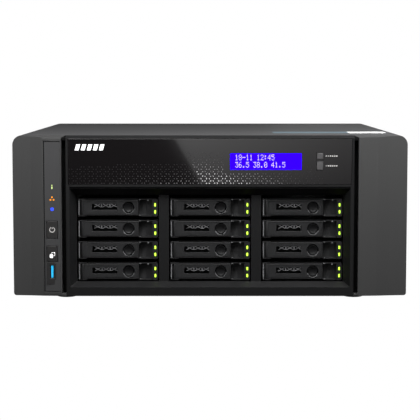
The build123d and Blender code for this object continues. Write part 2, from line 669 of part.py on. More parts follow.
def make_cpu_cooler():
    """Finned processor cooler."""
    low = BOARD_Z + PCB + SLACK
    with BuildPart() as cpu_cooler:
        y = about(COOLER[1], COOLER_HALF[1])
        block(about(COOLER[0], COOLER_HALF[0]), y, (low, low + COOLER_BASE))
        for index in range(FINS):
            x = COOLER[0] + (index - (FINS - 1) / 2) * FIN_PITCH
            block(about(x, FIN_HALF), y, (low + COOLER_BASE, low + COOLER_TALL))
    finish(cpu_cooler, "cpu_cooler")


def make_power_supply():
    """Supply in its own vented steel box, with a socket-shaped hole at the rear and a board inside."""
    y = (INSIDE_BACK - PSU_L, INSIDE_BACK)
    with BuildPart() as power_supply:
        block(PSU_X, y, PSU_Z)
        block(grown(PSU_X, -PSU_WALL), grown(y, -PSU_WALL), grown(PSU_Z, -PSU_WALL), Mode.SUBTRACT)
        for end, rise, count in ((y[0], 0, PSU_HOLES_FRONT), (y[1], PSU_REAR_RISE, PSU_HOLES_REAR)):
            for column in range(count[0]):
                for row in range(count[1]):
                    x = sum(PSU_X) / 2 + (column - (count[0] - 1) / 2) * PSU_HOLE_PITCH
                    z = sum(PSU_Z) / 2 + rise + (row - (count[1] - 1) / 2) * PSU_HOLE_PITCH
                    half = PSU_HOLE / 2
                    block(about(x, half), about(end, half), about(z, half), Mode.SUBTRACT)
        window = [about(middle, half) for middle, half in zip(INLET, INLET_WINDOW)]
        block(window[0], about(y[1], PSU_HOLE / 2), window[1], Mode.SUBTRACT)
        board_z = (PSU_Z[0] + PSU_BOARD_RISE[0], PSU_Z[0] + PSU_BOARD_RISE[1])
        block(grown(PSU_X, -PSU_HOLE), (y[0] + PSU_BOARD_RISE[0], y[1] - 2 * PSU_HOLE_PITCH), board_z)
        for x, half, front, back, tall in PSU_PARTS:
            block(about(PSU_X[0] + x, half), (y[0] + front, y[1] - back), (board_z[1], PSU_Z[0] + tall))
    finish(power_supply, "power_supply")


def make_fan_frames():
    """The two square fan housings, each with a bore, a motor plate and four struts."""
    y = (INSIDE_BACK - FAN_THICK, INSIDE_BACK)
    with BuildPart() as fan_frames:
        for x in FAN_X:
            block(about(x, FAN / 2), y, about(FAN_Z, FAN / 2))
            rod(x, FAN_Z, y, FAN_BORE_R, Mode.SUBTRACT)
            strut_y = (y[1] - STRUT, y[1])
            block(about(x, FAN_BORE_R + 1), strut_y, about(FAN_Z, STRUT / 2))
            block(about(x, STRUT / 2), strut_y, about(FAN_Z, FAN_BORE_R + 1))
            rod(x, FAN_Z, strut_y, MOTOR_R)
            rod(x, FAN_Z, grown(strut_y, 1), SHAFT_R + SHAFT_GAP, Mode.SUBTRACT)
            for dx, dz in corners(FAN_HOLES):
                rod(x + dx, FAN_Z + dz, y, FAN_HOLE_R, Mode.SUBTRACT)
    finish(fan_frames, "fan_frames")


def make_fan_rotor(name, x):
    """Fan rotor: hub cap, shaft and pitched blades."""
    hub = (INSIDE_BACK - FAN_THICK + CAP + 1, INSIDE_BACK - STRUT - 1)
    with BuildPart() as rotor:
        rod(x, FAN_Z, hub, HUB_R)
        hub_middle = Plane(origin=(x, sum(hub) / 2, FAN_Z), x_dir=(1, 0, 0), z_dir=(0, 1, 0))
        for index in range(BLADES):
            out = Pos((HUB_R + BLADE_R) / 2, 0, 0) * Rotation(BLADE_ANGLE, 0, 0)
            with Locations(hub_middle.location * Rotation(0, 0, index * 360 / BLADES) * out):
                Box(BLADE_R - HUB_R + CAP, *BLADE)
        rod(x, FAN_Z, grown(hub, CAP), BLADE_R, Mode.INTERSECT)
        rod(x, FAN_Z, (hub[1], INSIDE_BACK - 1), SHAFT_R)
    finish(rotor, name)


def port_shell(x, z, y, half, hole_half, depth):
    """A rectangular metal port: outer half sizes, then the half sizes and depth of its opening."""
    block(about(x, half[0]), y, about(z, half[1]))
    block(about(x, hole_half[0]), (y[1] - depth, y[1]), about(z, hole_half[1]), Mode.SUBTRACT)


def make_io_ports():
    """Rear network, module and serial-bus ports, the mains inlet, and the front serial-bus port."""
    with BuildPart() as io_ports:
        for x in USB_X:
            for z in USB_REAR_Z:
                port_shell(x, z, (PANEL_BACK - USB_LENGTH, PANEL_BACK), USB_SHELL, USB_MOUTH, USB_DEPTH)
                tongue_y = (PANEL_BACK - USB_DEPTH - SLACK, PANEL_BACK - 1)
                block(about(x, USB_TONGUE[0]), tongue_y, (z + USB_TONGUE[1], z + USB_TONGUE[2]))
        for x in LAN_X:
            port_shell(x, LAN_Z, (PANEL_BACK - LAN_LENGTH, PANEL_BACK), LAN_SHELL, LAN_MOUTH, LAN_DEPTH)
        for x in SFP_X:
            port_shell(x, SFP_Z, (PANEL_BACK - SFP_LENGTH, PANEL_BACK), SFP_SHELL, SFP_MOUTH, SFP_DEPTH)
        inlet_y = (INSIDE_BACK - INLET_LENGTH, PANEL_BACK - 2 * SLACK)
        port_shell(*INLET, inlet_y, INLET_SHELL, INLET_MOUTH, INLET_DEPTH)
        pin_y = (inlet_y[1] - INLET_DEPTH - SLACK, inlet_y[1] - INLET_PIN_SET)
        for dx, dz in INLET_PINS:
            block(about(INLET[0] + dx, INLET_PIN_HALF[0]), pin_y, about(INLET[1] + dz, INLET_PIN_HALF[1]))
        port = (PUSH_FRONT + KEY_FLANGE_THICK, PUSH_FRONT + KEY_FLANGE_THICK + USB_FRONT_LENGTH)
        shell = [about(middle, half) for middle, half in zip(USB_CENTRE, USB_FRONT_SHELL)]
        mouth = [about(middle, half) for middle, half in zip(USB_CENTRE, USB_FRONT_MOUTH)]
        block(shell[0], port, shell[1])
        block(mouth[0], (port[0], port[0] + USB_DEPTH - 1), mouth[1], Mode.SUBTRACT)
        tongue_x = (USB_CENTRE[0] + USB_FRONT_TONGUE[0], USB_CENTRE[0] + USB_FRONT_TONGUE[1])
        block(tongue_x, (port[0] + 1, port[0] + USB_DEPTH), grown(mouth[1], -EDGE))
    finish(io_ports, "io_ports")


# ---- feet and fasteners ------------------------------------------------------------------------------
def make_feet():
    """Four round rubber feet."""
    with BuildPart() as feet:
        for x in (-FEET_X, FEET_X):
            for y in FEET_Y:
                with Locations((x, y, FOOT_HEIGHT / 2)):
                    Cylinder(FOOT_R, FOOT_HEIGHT)
        chamfer(feet.edges().group_by(Axis.Z)[0], FOOT_CHAMFER)
    finish(feet, "feet")


def make_screws():
    """Pan-head screws on the rear: three hold the cover and four hold each fan."""
    with BuildPart() as screws:
        flange_back = COVER_FLANGE + SHEET
        for x in COVER_SCREW_X:
            rod(x, COVER_SCREW_Z, (flange_back, flange_back + HEAD), HEAD_R)
            rod(x, COVER_SCREW_Z, (PANEL_FRONT - COVER_SCREW_END, flange_back), SHANK_R)
        for x in FAN_X:
            for dx, dz in corners(FAN_HOLES):
                rod(x + dx, FAN_Z + dz, (PANEL_BACK, PANEL_BACK + HEAD), HEAD_R)
                rod(x + dx, FAN_Z + dz, (PANEL_FRONT - FAN_SCREW_END, PANEL_BACK), SHANK_R)
    finish(screws, "screws")


make_base_pan()
make_top_cover()
make_rear_panel()
make_pillars()
make_control_strip()
make_bay_bezel()
make_front_fascia()
make_lcd_module()
make_push_button("enter_button", KEY_X, ENTER_Z, FRONT, KEY_LENGTH, KEY_FLANGE)
make_push_button("select_button", KEY_X, SELECT_Z, FRONT, KEY_LENGTH, KEY_FLANGE)
make_push_button("power_button", POWER_X, POWER_Z, PUSH_FRONT, PUSH_LENGTH, 0.0)
make_push_button("copy_button", COPY_X, COPY_Z, PUSH_FRONT, PUSH_LENGTH, 0.0)
make_drive_cage()
make_backplane()
make_motherboard()
make_cpu_cooler()
make_power_supply()
make_fan_frames()
make_fan_rotor("fan_rotor_left", FAN_X[0])
make_fan_rotor("fan_rotor_right", FAN_X[1])
make_io_ports()
make_feet()
make_screws()
bay = 0
for row_height in ROWS:
    for column_x in COLUMNS:
        bay += 1
        make_tray(f"drive_tray_{bay}", column_x, row_height)
        make_lever(f"tray_lever_{bay}", column_x, row_height)
        make_tray_button(f"tray_button_{bay}", column_x, row_height)
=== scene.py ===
"""Looks of a twelve-bay desktop storage unit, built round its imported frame."""

import json
import logging
import math
from dataclasses import dataclass
from enum import Enum
from typing import Any, Iterable, Optional, Sequence

import bmesh
import bpy
from mathutils import Matrix, Vector


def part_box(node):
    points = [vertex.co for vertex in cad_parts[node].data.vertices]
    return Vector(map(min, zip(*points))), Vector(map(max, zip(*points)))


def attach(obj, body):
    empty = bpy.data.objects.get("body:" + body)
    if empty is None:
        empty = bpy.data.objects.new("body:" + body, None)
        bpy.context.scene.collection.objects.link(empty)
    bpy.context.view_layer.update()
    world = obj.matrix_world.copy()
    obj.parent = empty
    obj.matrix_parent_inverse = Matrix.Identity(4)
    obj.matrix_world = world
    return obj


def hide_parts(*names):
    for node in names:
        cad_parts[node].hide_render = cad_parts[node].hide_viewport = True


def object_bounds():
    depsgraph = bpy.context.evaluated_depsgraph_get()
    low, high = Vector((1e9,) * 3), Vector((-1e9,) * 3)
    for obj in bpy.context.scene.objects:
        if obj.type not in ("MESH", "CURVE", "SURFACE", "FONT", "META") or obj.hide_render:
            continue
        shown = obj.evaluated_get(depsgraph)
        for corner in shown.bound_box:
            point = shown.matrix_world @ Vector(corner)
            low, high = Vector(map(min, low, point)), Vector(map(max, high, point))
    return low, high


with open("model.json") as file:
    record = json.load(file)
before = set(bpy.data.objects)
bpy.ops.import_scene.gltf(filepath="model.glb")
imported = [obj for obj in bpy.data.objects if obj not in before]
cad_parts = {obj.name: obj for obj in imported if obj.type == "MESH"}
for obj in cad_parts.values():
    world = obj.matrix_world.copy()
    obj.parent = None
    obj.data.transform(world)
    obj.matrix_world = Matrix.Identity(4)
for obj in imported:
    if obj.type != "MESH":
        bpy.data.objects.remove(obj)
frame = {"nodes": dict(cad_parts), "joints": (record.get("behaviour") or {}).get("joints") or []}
CAD_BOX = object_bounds()

LOG = logging.getLogger("storage_unit")
MM = 0.001
FLAT_TURN = 0.4  # two faces that turn less than this many degrees lie in one plane
FLAT_WIDTH = 4.0  # a flat region wider than this many millimetres is never shaded as a curve
DRIFT_MM = 45.0  # a piece's tone drifts over patches of about this size
COAT_ROUGHNESS = 0.03  # a clear top layer is nearly mirror smooth
INK_Y = (-0.04, 0.02)  # printed marks start and end this far from the gloss panel's face
BAYS = range(1, 13)
Span = tuple[float, float]
Point = tuple[float, float]
Piece = bpy.types.Object


# ---- materials ---------------------------------------------------------------------------------


def linear(code: str) -> tuple[float, float, float, float]:
    """Turn an sRGB hex colour to linear.

    Args:
        code: The colour as "#rrggbb".

    Returns:
        Linear red, green, blue and an alpha of 1.
    """
    parts = [int(code[i : i + 2], 16) / 255 for i in (1, 3, 5)]
    low, high = 0.04045, 2.4
    values = [p / 12.92 if p <= low else ((p + 0.055) / 1.055) ** high for p in parts]
    return (values[0], values[1], values[2], 1.0)


def add_node(tree: Any, kind: str, inputs: Optional[dict] = None, **settings: Any) -> Any:
    """Add a node with its settings and its inputs.

    Args:
        tree: The node tree.
        kind: The node's type name.
        inputs: Values or sockets for its inputs, by name or place.
        settings: The node's own attributes.

    Returns:
        The new node.
    """
    node = tree.nodes.new(kind)
    for key, value in settings.items():
        setattr(node, key, value)
    for key, value in (inputs or {}).items():
        if isinstance(value, bpy.types.NodeSocket):
            tree.links.new(value, node.inputs[key])
        else:
            node.inputs[key].default_value = value
    return node


def ranged(tree: Any, value: Any, given: Span, wanted: Span) -> Any:
    """Map a socket's value from the given range to the wanted one, and give the new socket."""
    inputs = {0: value, 1: given[0], 2: given[1], 3: wanted[0], 4: wanted[1]}
    return add_node(tree, "ShaderNodeMapRange", inputs).outputs[0]


def times(tree: Any, first: Any, second: Any) -> Any:
    """Multiply two values or sockets, and give the new socket."""
    return add_node(tree, "ShaderNodeMath", {0: first, 1: second}, operation="MULTIPLY").outputs[0]


def mixed(tree: Any, share: Any, first: Any, second: Any) -> Any:
    """Blend two colours or sockets by a socket's share, and give the new socket."""
    return add_node(tree, "ShaderNodeMix", {0: share, 6: first, 7: second}, data_type="RGBA").outputs[2]


def bare_material(name: str) -> tuple[bpy.types.Material, Any]:
    """Make a material with an empty node tree.

    Args:
        name: The material's name.

    Returns:
        The material and its node tree.
    """
    material = bpy.data.materials.new(name)
    material.use_nodes = True
    material.node_tree.nodes.clear()
    return material, material.node_tree


class Grain(Enum):
    """How a surface's small relief is laid out."""

    SPARKED = "spark-eroded mould texture"
    PEEL = "powder coat orange peel"
    SPANGLE = "zinc crystals"
    DRAWN = "fine lines from rolling"
    CHECK = "fine moulded dot grid"
    TRACKS = "copper tracks under solder mask"
    SMOOTH = "polished, with dust only"


@dataclass(frozen=True)
class Finish:
    """One real surface: its colour, shine and grain.

    Attributes:
        name: What the material is called.
        colour: Its sRGB hex colour.
        roughness: Middle roughness.
        grain: The layout of the relief.
        grain_mm: The size of one grain.
        relief_mm: How deep the grain is.
        second: The other colour of a two-tone grain.
        variation: How much the colour drifts over the piece.
        metallic: 1 for a bare metal.
        coat: Strength of a clear top layer.
        ior: Index of refraction, for what isn't metal.
        glow: Strength of its own light.
    """

    name: str
    colour: str
    roughness: float
    grain: Grain = Grain.SPARKED
    grain_mm: float = 0.8
    relief_mm: float = 0.02
    second: Optional[str] = None
    variation: float = 0.12
    metallic: float = 0.0
    coat: float = 0.0
    ior: float = 1.5
    glow: float = 0.0

    def make(self) -> bpy.types.Material:
        """Build the material, or give back the one already built.

        Returns:
            The material.
        """
        found = bpy.data.materials.get(self.name)
        if found:
            return found
        material, tree = bare_material(self.name)
        first = linear(self.colour)
        material.diffuse_color = first
        place = add_node(tree, "ShaderNodeTexCoord").outputs["Object"]
        height, blend = self.relief(tree, place)
        drift = add_node(
            tree, "ShaderNodeTexNoise", {"Vector": place, "Scale": 1 / (DRIFT_MM * MM), "Detail": 3.0}
        ).outputs[0]
        shade = mixed(tree, blend, first, linear(self.second or self.colour))
        darker = tuple(c * (1 - self.variation) for c in first[:3]) + (1.0,)
        tone = mixed(tree, ranged(tree, drift, (0.3, 0.7), (0.0, 2 * self.variation)), shade, darker)
        rough = ranged(tree, blend, (0.0, 1.0), (self.roughness * 0.92, min(1.0, self.roughness * 1.12)))
        bump = add_node(
            tree, "ShaderNodeBump", {"Height": height, "Distance": self.relief_mm * MM, "Strength": 1.0}
        )
        shader = add_node(
            tree,
            "ShaderNodeBsdfPrincipled",
            {"Base Color": tone, "Roughness": rough, "Normal": bump.outputs[0], "Metallic": self.metallic,
             "Coat Weight": self.coat, "Coat Roughness": COAT_ROUGHNESS},
        )
        if not self.metallic:
            shader.inputs["IOR"].default_value = self.ior
        if self.glow:
            tree.links.new(tone, shader.inputs["Emission Color"])
            shader.inputs["Emission Strength"].default_value = self.glow
        add_node(tree, "ShaderNodeOutputMaterial", {"Surface": shader.outputs[0]})
        return material

    def relief(self, tree: Any, place: Any) -> tuple[Any, Any]:
        """Build the grain.

        Args:
            tree: The material's node tree.
            place: The socket that holds object coordinates.

        Returns:
            The height socket and the socket that blends the two tones.
        """
        scale = 1 / (self.grain_mm * MM)
        if self.grain is Grain.SPANGLE:
            cells = add_node(tree, "ShaderNodeTexVoronoi", {"Vector": place, "Scale": scale})
            grey = add_node(tree, "ShaderNodeSeparateColor", {0: cells.outputs["Color"]})
            return cells.outputs["Distance"], grey.outputs[0]
        if self.grain is Grain.DRAWN:
            lines = add_node(tree, "ShaderNodeMapping", {"Vector": place, "Scale": (1.0, 0.04, 1.0)})
            noise = add_node(tree, "ShaderNodeTexNoise", {"Vector": lines.outputs[0], "Scale": scale})
            return noise.outputs[0], noise.outputs[0]
        if self.grain is Grain.CHECK:
            split = add_node(tree, "ShaderNodeSeparateXYZ", {0: place})
            waves = []
            for axis in (0, 2):
                turn = times(tree, split.outputs[axis], math.tau * scale)
                waves.append(add_node(tree, "ShaderNodeMath", {0: turn}, operation="SINE").outputs[0])
            level = ranged(tree, times(tree, *waves), (-1.0, 1.0), (0.0, 1.0))
            return level, level
        if self.grain is Grain.TRACKS:
            bricks = add_node(
                tree,
                "ShaderNodeTexBrick",
                {"Vector": place, "Scale": scale, "Mortar Size": 0.06, "Color1": (0, 0, 0, 1),
                 "Color2": (0.15, 0.15, 0.15, 1), "Mortar": (1, 1, 1, 1)},
            )
            return bricks.outputs["Fac"], bricks.outputs["Fac"]
        detail = {Grain.SPARKED: 4.0, Grain.PEEL: 1.0, Grain.SMOOTH: 2.0}[self.grain]
        noise = add_node(tree, "ShaderNodeTexNoise", {"Vector": place, "Scale": scale, "Detail": detail})
        return noise.outputs[0], noise.outputs[0]


# Powder-coated steel: fine orange peel that breaks up the highlights along the cover.
COVER_PAINT = Finish("charcoal_powder_coat", "#444445", 0.5, Grain.PEEL, 1.1, 0.05, "#4a4a4b", 0.06)
# Smoother satin paint on the rear wall, a shade darker than the cover.
REAR_PAINT = Finish("satin_rear_paint", "#2b2b2c", 0.45, Grain.PEEL, 1.3, 0.04, "#303031", 0.08)
# The same satin paint, slightly coarser, on the floor pan.
BASE_PAINT = Finish("satin_base_paint", "#2a2a2b", 0.5, Grain.PEEL, 1.5, 0.04, "#2f2f30", 0.08)
# Spark-eroded ABS: a soft matte sheen without sharp reflections.
PILLAR_ABS = Finish("textured_pillar_abs", "#3c3c3c", 0.44, Grain.SPARKED, 0.7, 0.03, "#424242", 0.05)
# The strip's ABS: a little smoother than the pillar round it.
STRIP_ABS = Finish("satin_strip_abs", "#424243", 0.4, Grain.SPARKED, 0.6, 0.02, "#404041", 0.05)
# Near-black moulded frame round the bays.
BEZEL_ABS = Finish("black_bezel_abs", "#0f0f10", 0.5, Grain.SPARKED, 0.7, 0.03, "#131314", 0.08, ior=1.38)
# Near black in the grooves beside the bays: painted shade for their unlit depth.
GROOVE_SHADE_BLACK = Finish("matt_groove_black", "#070707", 0.8, Grain.SPARKED, 0.6, 0.02, "#090909", 0.1, ior=1.2)
# Piano-black acrylic-faced panel: mirror-like coat, dust only.
FASCIA_GLOSS = Finish("piano_black_gloss", "#131112", 0.07, Grain.SMOOTH, 4.0, 0.002, None, 0.05, coat=1.0)
# Silver pad-printed dots in four strengths, so that the pattern fades out; the strengths are also a painted
# reflection, brightest along the slanted edge that the gloss panel reflects, and a faint glow, painted light,
# keeps them even.
DOT_PRINT_AND_GLARE_TONES = tuple(
    Finish(f"silver_dot_{tone}", colour, 0.4, Grain.SMOOTH, 1.0, 0.002, None, 0.05, glow=glow)
    for tone, colour, glow in (
        ("bright", "#a9a7a8", 0.3),
        ("middle", "#6a6869", 0.25),
        ("dim", "#3f3d3e", 0.2),
        ("faint", "#282627", 0.1),
    )
)
# Prints: clean white and softer grey, both with a painted glow; and a flat black for the strip's border,
# painted shade in the seam round the strip.
WHITE_INK_GLOWING = Finish("white_pad_print", "#f2f2f2", 0.5, Grain.SMOOTH, 0.6, 0.003, "#ffffff", 0.02, glow=0.75)
GREY_INK_GLOWING = Finish("grey_pad_print", "#b9b7b5", 0.5, Grain.SMOOTH, 0.6, 0.003, "#c4c2c0", 0.02, glow=0.35)
SEAM_SHADE_BLACK = Finish("black_border_print", "#0c0c0c", 0.6, Grain.SMOOTH, 0.6, 0.003, "#101010", 0.05, ior=1.2)
# Push keys: fine-textured ABS, mid grey by the display and darker on the strip.
KEY_GREY = Finish("grey_key_abs", "#4a494a", 0.42, Grain.SPARKED, 0.5, 0.02, "#525152", 0.05)
KEY_DARK = Finish("dark_key_abs", "#292828", 0.4, Grain.SPARKED, 0.5, 0.02, "#2c2b2b", 0.05)
# Satin near-black nylon of the trays, and the levers' with a fine moulded grid on the face.
TRAY_NYLON = Finish("satin_tray_nylon", "#171718", 0.45, Grain.SPARKED, 0.7, 0.03, "#222223", 0.08, ior=1.42)
LEVER_NYLON = Finish(
    "gridded_lever_nylon", "#1f1f20", 0.45, Grain.CHECK, 1.3, 0.06, "#282829", 0.08, ior=1.42,
)
# The button's dish takes hardly any light, so that only its collar shines.
BUTTON_BLACK = Finish(
    "dished_button_black", "#101011", 0.4, Grain.SPARKED, 0.5, 0.02, "#141415", 0.08, ior=1.35,
)
COLLAR_GLOSS = Finish("polished_collar", "#101011", 0.16, Grain.SMOOTH, 1.0, 0.003, None, 0.05, coat=0.5)
# Pale nylon greys as painted highlights: a dull grey for the lever's border lines, and a paler one for the
# struts, the collar's crescents and the face's edges, where light would catch them.
BORDER_HIGHLIGHT_GREY = Finish("worn_rim_grey", "#4e4e50", 0.35, Grain.SPARKED, 0.5, 0.01, "#5a5a5c", 0.05)
PAINTED_HIGHLIGHT_GREY = Finish("light_truss_nylon", "#6a6a6c", 0.35, Grain.SPARKED, 0.5, 0.02, "#8a8a8c", 0.05)
# Galvanised sheet: zinc crystals a few millimetres across.
ZINC_SHEET = Finish("galvanised_sheet", "#9b9ea0", 0.38, Grain.SPANGLE, 5.0, 0.01, "#b1b4b6", 0.1, 1.0)
# The cage's sheet and the drives' castings are coloured near black as painted shade, which keeps the bays
# dark.
CAGE_SHADE_BLACK = Finish("black_coated_cage", "#1c1c1d", 0.5, Grain.PEEL, 1.1, 0.02, "#222223", 0.08)
DRIVE_SHADE_BLACK = Finish("black_coated_drive", "#0e0f10", 0.5, Grain.SPARKED, 0.6, 0.02, "#131415", 0.08, ior=1.35)
# Bare metals: drawn lines along the fins, brighter nickel on the ports, blued screws.
FIN_ALUMINIUM = Finish("extruded_aluminium", "#b9bbbd", 0.35, Grain.DRAWN, 0.5, 0.02, "#c8cacc", 0.06, 1.0)
PORT_NICKEL = Finish("nickel_plated_shell", "#b6b4ae", 0.25, Grain.DRAWN, 0.5, 0.01, "#c6c4be", 0.08, 1.0)
BLACK_OXIDE = Finish("black_oxide_steel", "#232325", 0.38, Grain.SPARKED, 0.4, 0.02, "#2e2e31", 0.1, 0.8)
# Green solder mask with paler tracks under it, and flat black chip bodies.
BOARD_MASK = Finish("solder_masked_board", "#0c3a22", 0.35, Grain.TRACKS, 3.0, 0.03, "#1c5a35", 0.1)
CHIP_EPOXY = Finish("moulded_epoxy_chip", "#151516", 0.5, Grain.SPARKED, 0.5, 0.02, "#1b1b1c", 0.08)
# Fans: satin glass-filled plastic, rougher than the trays.
FAN_PBT = Finish("glass_filled_fan_pbt", "#161617", 0.48, Grain.SPARKED, 0.9, 0.03, "#1c1c1d", 0.08)
# Feet: dull rubber with a deep texture.
FOOT_RUBBER = Finish("moulded_foot_rubber", "#131313", 0.75, Grain.SPARKED, 0.6, 0.05, "#191919", 0.1)
# Papers: a dull one on the drives, a bright coated one with a painted glow and a blue-grey film on top of the
# case.
DRIVE_PAPER = Finish("matt_drive_paper", "#c9c8c4", 0.6, Grain.SMOOTH, 0.8, 0.004, "#d4d3cf", 0.03)
LABEL_PAPER_GLOWING = Finish(
    "coated_label_paper", "#f4f4f2", 0.5, Grain.SMOOTH, 0.8, 0.004, "#ffffff", 0.03, glow=0.35,
)
STRIP_FILM = Finish("blue_grey_label_film", "#586b75", 0.5, Grain.SMOOTH, 0.8, 0.004, "#637680", 0.05)
# Light pipes: a bright yellow-green core in a darker green surround.
LED_CORE = Finish("lit_green_lens", "#dcff5a", 0.3, Grain.SMOOTH, 1.0, 0.002, "#c8ff3c", 0.05, glow=1.05)
LED_SKIRT = Finish("green_lens_skirt", "#2f5a10", 0.3, Grain.SMOOTH, 1.0, 0.002, "#3c7014", 0.1, glow=0.35)
# Display: deep blue back light with pale violet dots.
DISPLAY_BLUE = Finish(
    "backlit_display", "#2600ea", 0.6, Grain.SMOOTH, 8.0, 0.0, "#2a00ee", 0.03, ior=1.05, glow=0.8,
)
DISPLAY_PALE = Finish(
    "lit_display_dot", "#b9a4ff", 0.5, Grain.SMOOTH, 1.0, 0.0, None, 0.02, ior=1.05, glow=0.85,
)
# Lit marks on the strip, and the blue tongue in its port, which is given a painted glow.
PORT_BLUE_GLOWING = Finish("lit_blue_tongue", "#1fa8e8", 0.4, Grain.SMOOTH, 1.0, 0.0, "#34bcec", 0.05, glow=0.62)
DISK_BLUE = Finish("lit_blue_mark", "#3350ff", 0.3, Grain.SMOOTH, 1.0, 0.0, None, 0.05, glow=0.8)
NET_ORANGE = Finish("lit_orange_mark", "#e08a1e", 0.3, Grain.SMOOTH, 1.0, 0.0, None, 0.05, glow=0.75)
STATE_GREEN = Finish("lit_green_mark", "#c9e08c", 0.3, Grain.SMOOTH, 1.0, 0.0, None, 0.05, glow=0.7)


# ---- mesh helpers --------------------------------------------------------------------------------


def new_object(name: str, mesh: bpy.types.Mesh) -> Piece:
    """Make an object at the origin for a mesh.

    Args:
        name: The object's name.
        mesh: The mesh it shows.

    Returns:
        The object.
    """
    piece = bpy.data.objects.new(name, mesh)
    bpy.context.scene.collection.objects.link(piece)
    return piece


def from_bmesh(name: str, bm: bmesh.types.BMesh) -> Piece:
    """Turn a bmesh into an object, with its faces pointing outwards.

    Args:
        name: The new object's name.
        bm: The bmesh, in metres; it is used up.

    Returns:
        The object.
    """
    bmesh.ops.recalc_face_normals(bm, faces=bm.faces)
    mesh = bpy.data.meshes.new(name)
    bm.to_mesh(mesh)
    bm.free()
    return new_object(name, mesh)


def prism(name: str, outline: Sequence[Point], low: float, high: float, axis: str = "Z") -> Piece:
    """Extrude an outline in millimetres.

    Args:
        name: The new object's name.
        outline: Corners, in order; for axis Z they are (x, y), for axis Y they are (x, z).
        low: Where the prism starts along the axis.
        high: Where it ends.
        axis: Z or Y.

    Returns:
        The closed prism, in metres.
    """
    bm = bmesh.new()
    rings = []
    for level in (low, high):
        points = [(x, y, level) if axis == "Z" else (x, level, y) for x, y in outline]
        rings.append([bm.verts.new(Vector(p) * MM) for p in points])
    count = len(outline)
    bm.faces.new(rings[0])
    bm.faces.new(list(reversed(rings[1])))
    for i in range(count):
        j = (i + 1) % count
        bm.faces.new((rings[0][i], rings[0][j], rings[1][j], rings[1][i]))
    return from_bmesh(name, bm)


def block(name: str, x: Span, y: Span, z: Span) -> Piece:
    """Make a box from three spans in millimetres, to be carved or softened."""
    outline = ((x[0], y[0]), (x[1], y[0]), (x[1], y[1]), (x[0], y[1]))
    return prism(name, outline, z[0], z[1])


def around(middle: float, half: float) -> Span:
    """Give the span that reaches half to each side of a middle."""
    return (middle - half, middle + half)


def circle(
    centre: Point, radius: float, steps: int, start: float = 0.0, sweep: float = math.tau
) -> list[Point]:
    """Give points round a circle or along an arc.

    Args:
        centre: The middle.
        radius: The radius.
        steps: Segments of the circle or arc.
        start: Angle of the first point, in radians.
        sweep: How far an arc turns; an arc keeps its last point, a full circle doesn't.

    Returns:
        The points, in order.
    """
    turns = [start + sweep * i / steps for i in range(steps if sweep == math.tau else steps + 1)]
    return [(centre[0] + radius * math.cos(t), centre[1] + radius * math.sin(t)) for t in turns]


def rounded(x: Span, z: Span, radius: float, steps: int = 6) -> list[Point]:
    """Give the outline of a rectangle with round corners.

    Args:
        x: Left and right edges.
        z: Bottom and top edges.
        radius: Corner radius.
        steps: Segments in each corner.

    Returns:
        The outline's corners.
    """
    points = []
    left, right, low, high = x[0] + radius, x[1] - radius, z[0] + radius, z[1] - radius
    centres = ((right, high), (left, high), (left, low), (right, low))
    for quarter, centre in enumerate(centres):
        points += circle(centre, radius, steps, math.pi / 2 * quarter, math.pi / 2)
    return points


def plate(name: str, x: Span, y: Span, z: Span, radius: float, steps: int = 6) -> Piece:
    """Make an upright plate with round corners, facing the front.

    Args:
        name: The new object's name.
        x: Its left and right edges, in millimetres.
        y: Its front and back.
        z: Its bottom and top.
        radius: Corner radius.
        steps: Segments in each corner.

    Returns:
        The plate, in metres.
    """
    return prism(name, rounded(x, z, radius, steps), y[0], y[1], "Y")


def lathe(name: str, profile: Sequence[Point], centre: Point, steps: int = 40) -> Piece:
    """Turn a closed profile about an axis that runs along Y.

    Args:
        name: The new object's name.
        profile: (radius, y) corners in millimetres; a radius of 0 closes on the axis.
        centre: The axis's x and z in millimetres.
        steps: Segments round the axis.

    Returns:
        The turned piece, in metres.
    """
    bm = bmesh.new()
    rings = []
    for step in range(steps):
        angle = 2 * math.pi * step / steps
        rings.append([
            bm.verts.new(Vector((centre[0] + r * math.cos(angle), y, centre[1] + r * math.sin(angle))) * MM)
            for r, y in profile
        ])
    for step in range(steps):
        here, after = rings[step], rings[(step + 1) % steps]
        for i in range(len(profile) - (profile[0][0] == 0)):
            j = (i + 1) % len(profile)
            bm.faces.new((here[i], here[j], after[j], after[i]))
    bmesh.ops.remove_doubles(bm, verts=bm.verts, dist=MM * 0.001)
    return from_bmesh(name, bm)


def settle(piece: Piece) -> Piece:
    """Turn a piece's modifiers into plain mesh.

    Args:
        piece: The piece, changed in place.

    Returns:
        The same piece.
    """
    graph = bpy.context.evaluated_depsgraph_get()
    graph.update()
    mesh = bpy.data.meshes.new_from_object(piece.evaluated_get(graph), depsgraph=graph)
    piece.modifiers.clear()
    old = piece.data
    piece.data = mesh
    bpy.data.meshes.remove(old)
    return piece


def combine(piece: Piece, others: Iterable[Piece], how: str) -> Piece:
    """Cut other solids from a piece, or weld them to it.

    Args:
        piece: The solid that stays.
        others: The solids used up.
        how: DIFFERENCE or UNION.

    Returns:
        The changed piece.
    """
    used = list(others)
    for other in used:
        step = piece.modifiers.new("combine", "BOOLEAN")
        step.operation = how
        step.solver = "EXACT"
        step.object = other
    settle(piece)
    for other in used:
        drop(other)
    return piece


def drop(piece: Piece) -> None:
    """Remove an object and its mesh.

    Args:
        piece: The object.
    """
    mesh = piece.data
    bpy.data.objects.remove(piece)
    bpy.data.meshes.remove(mesh)


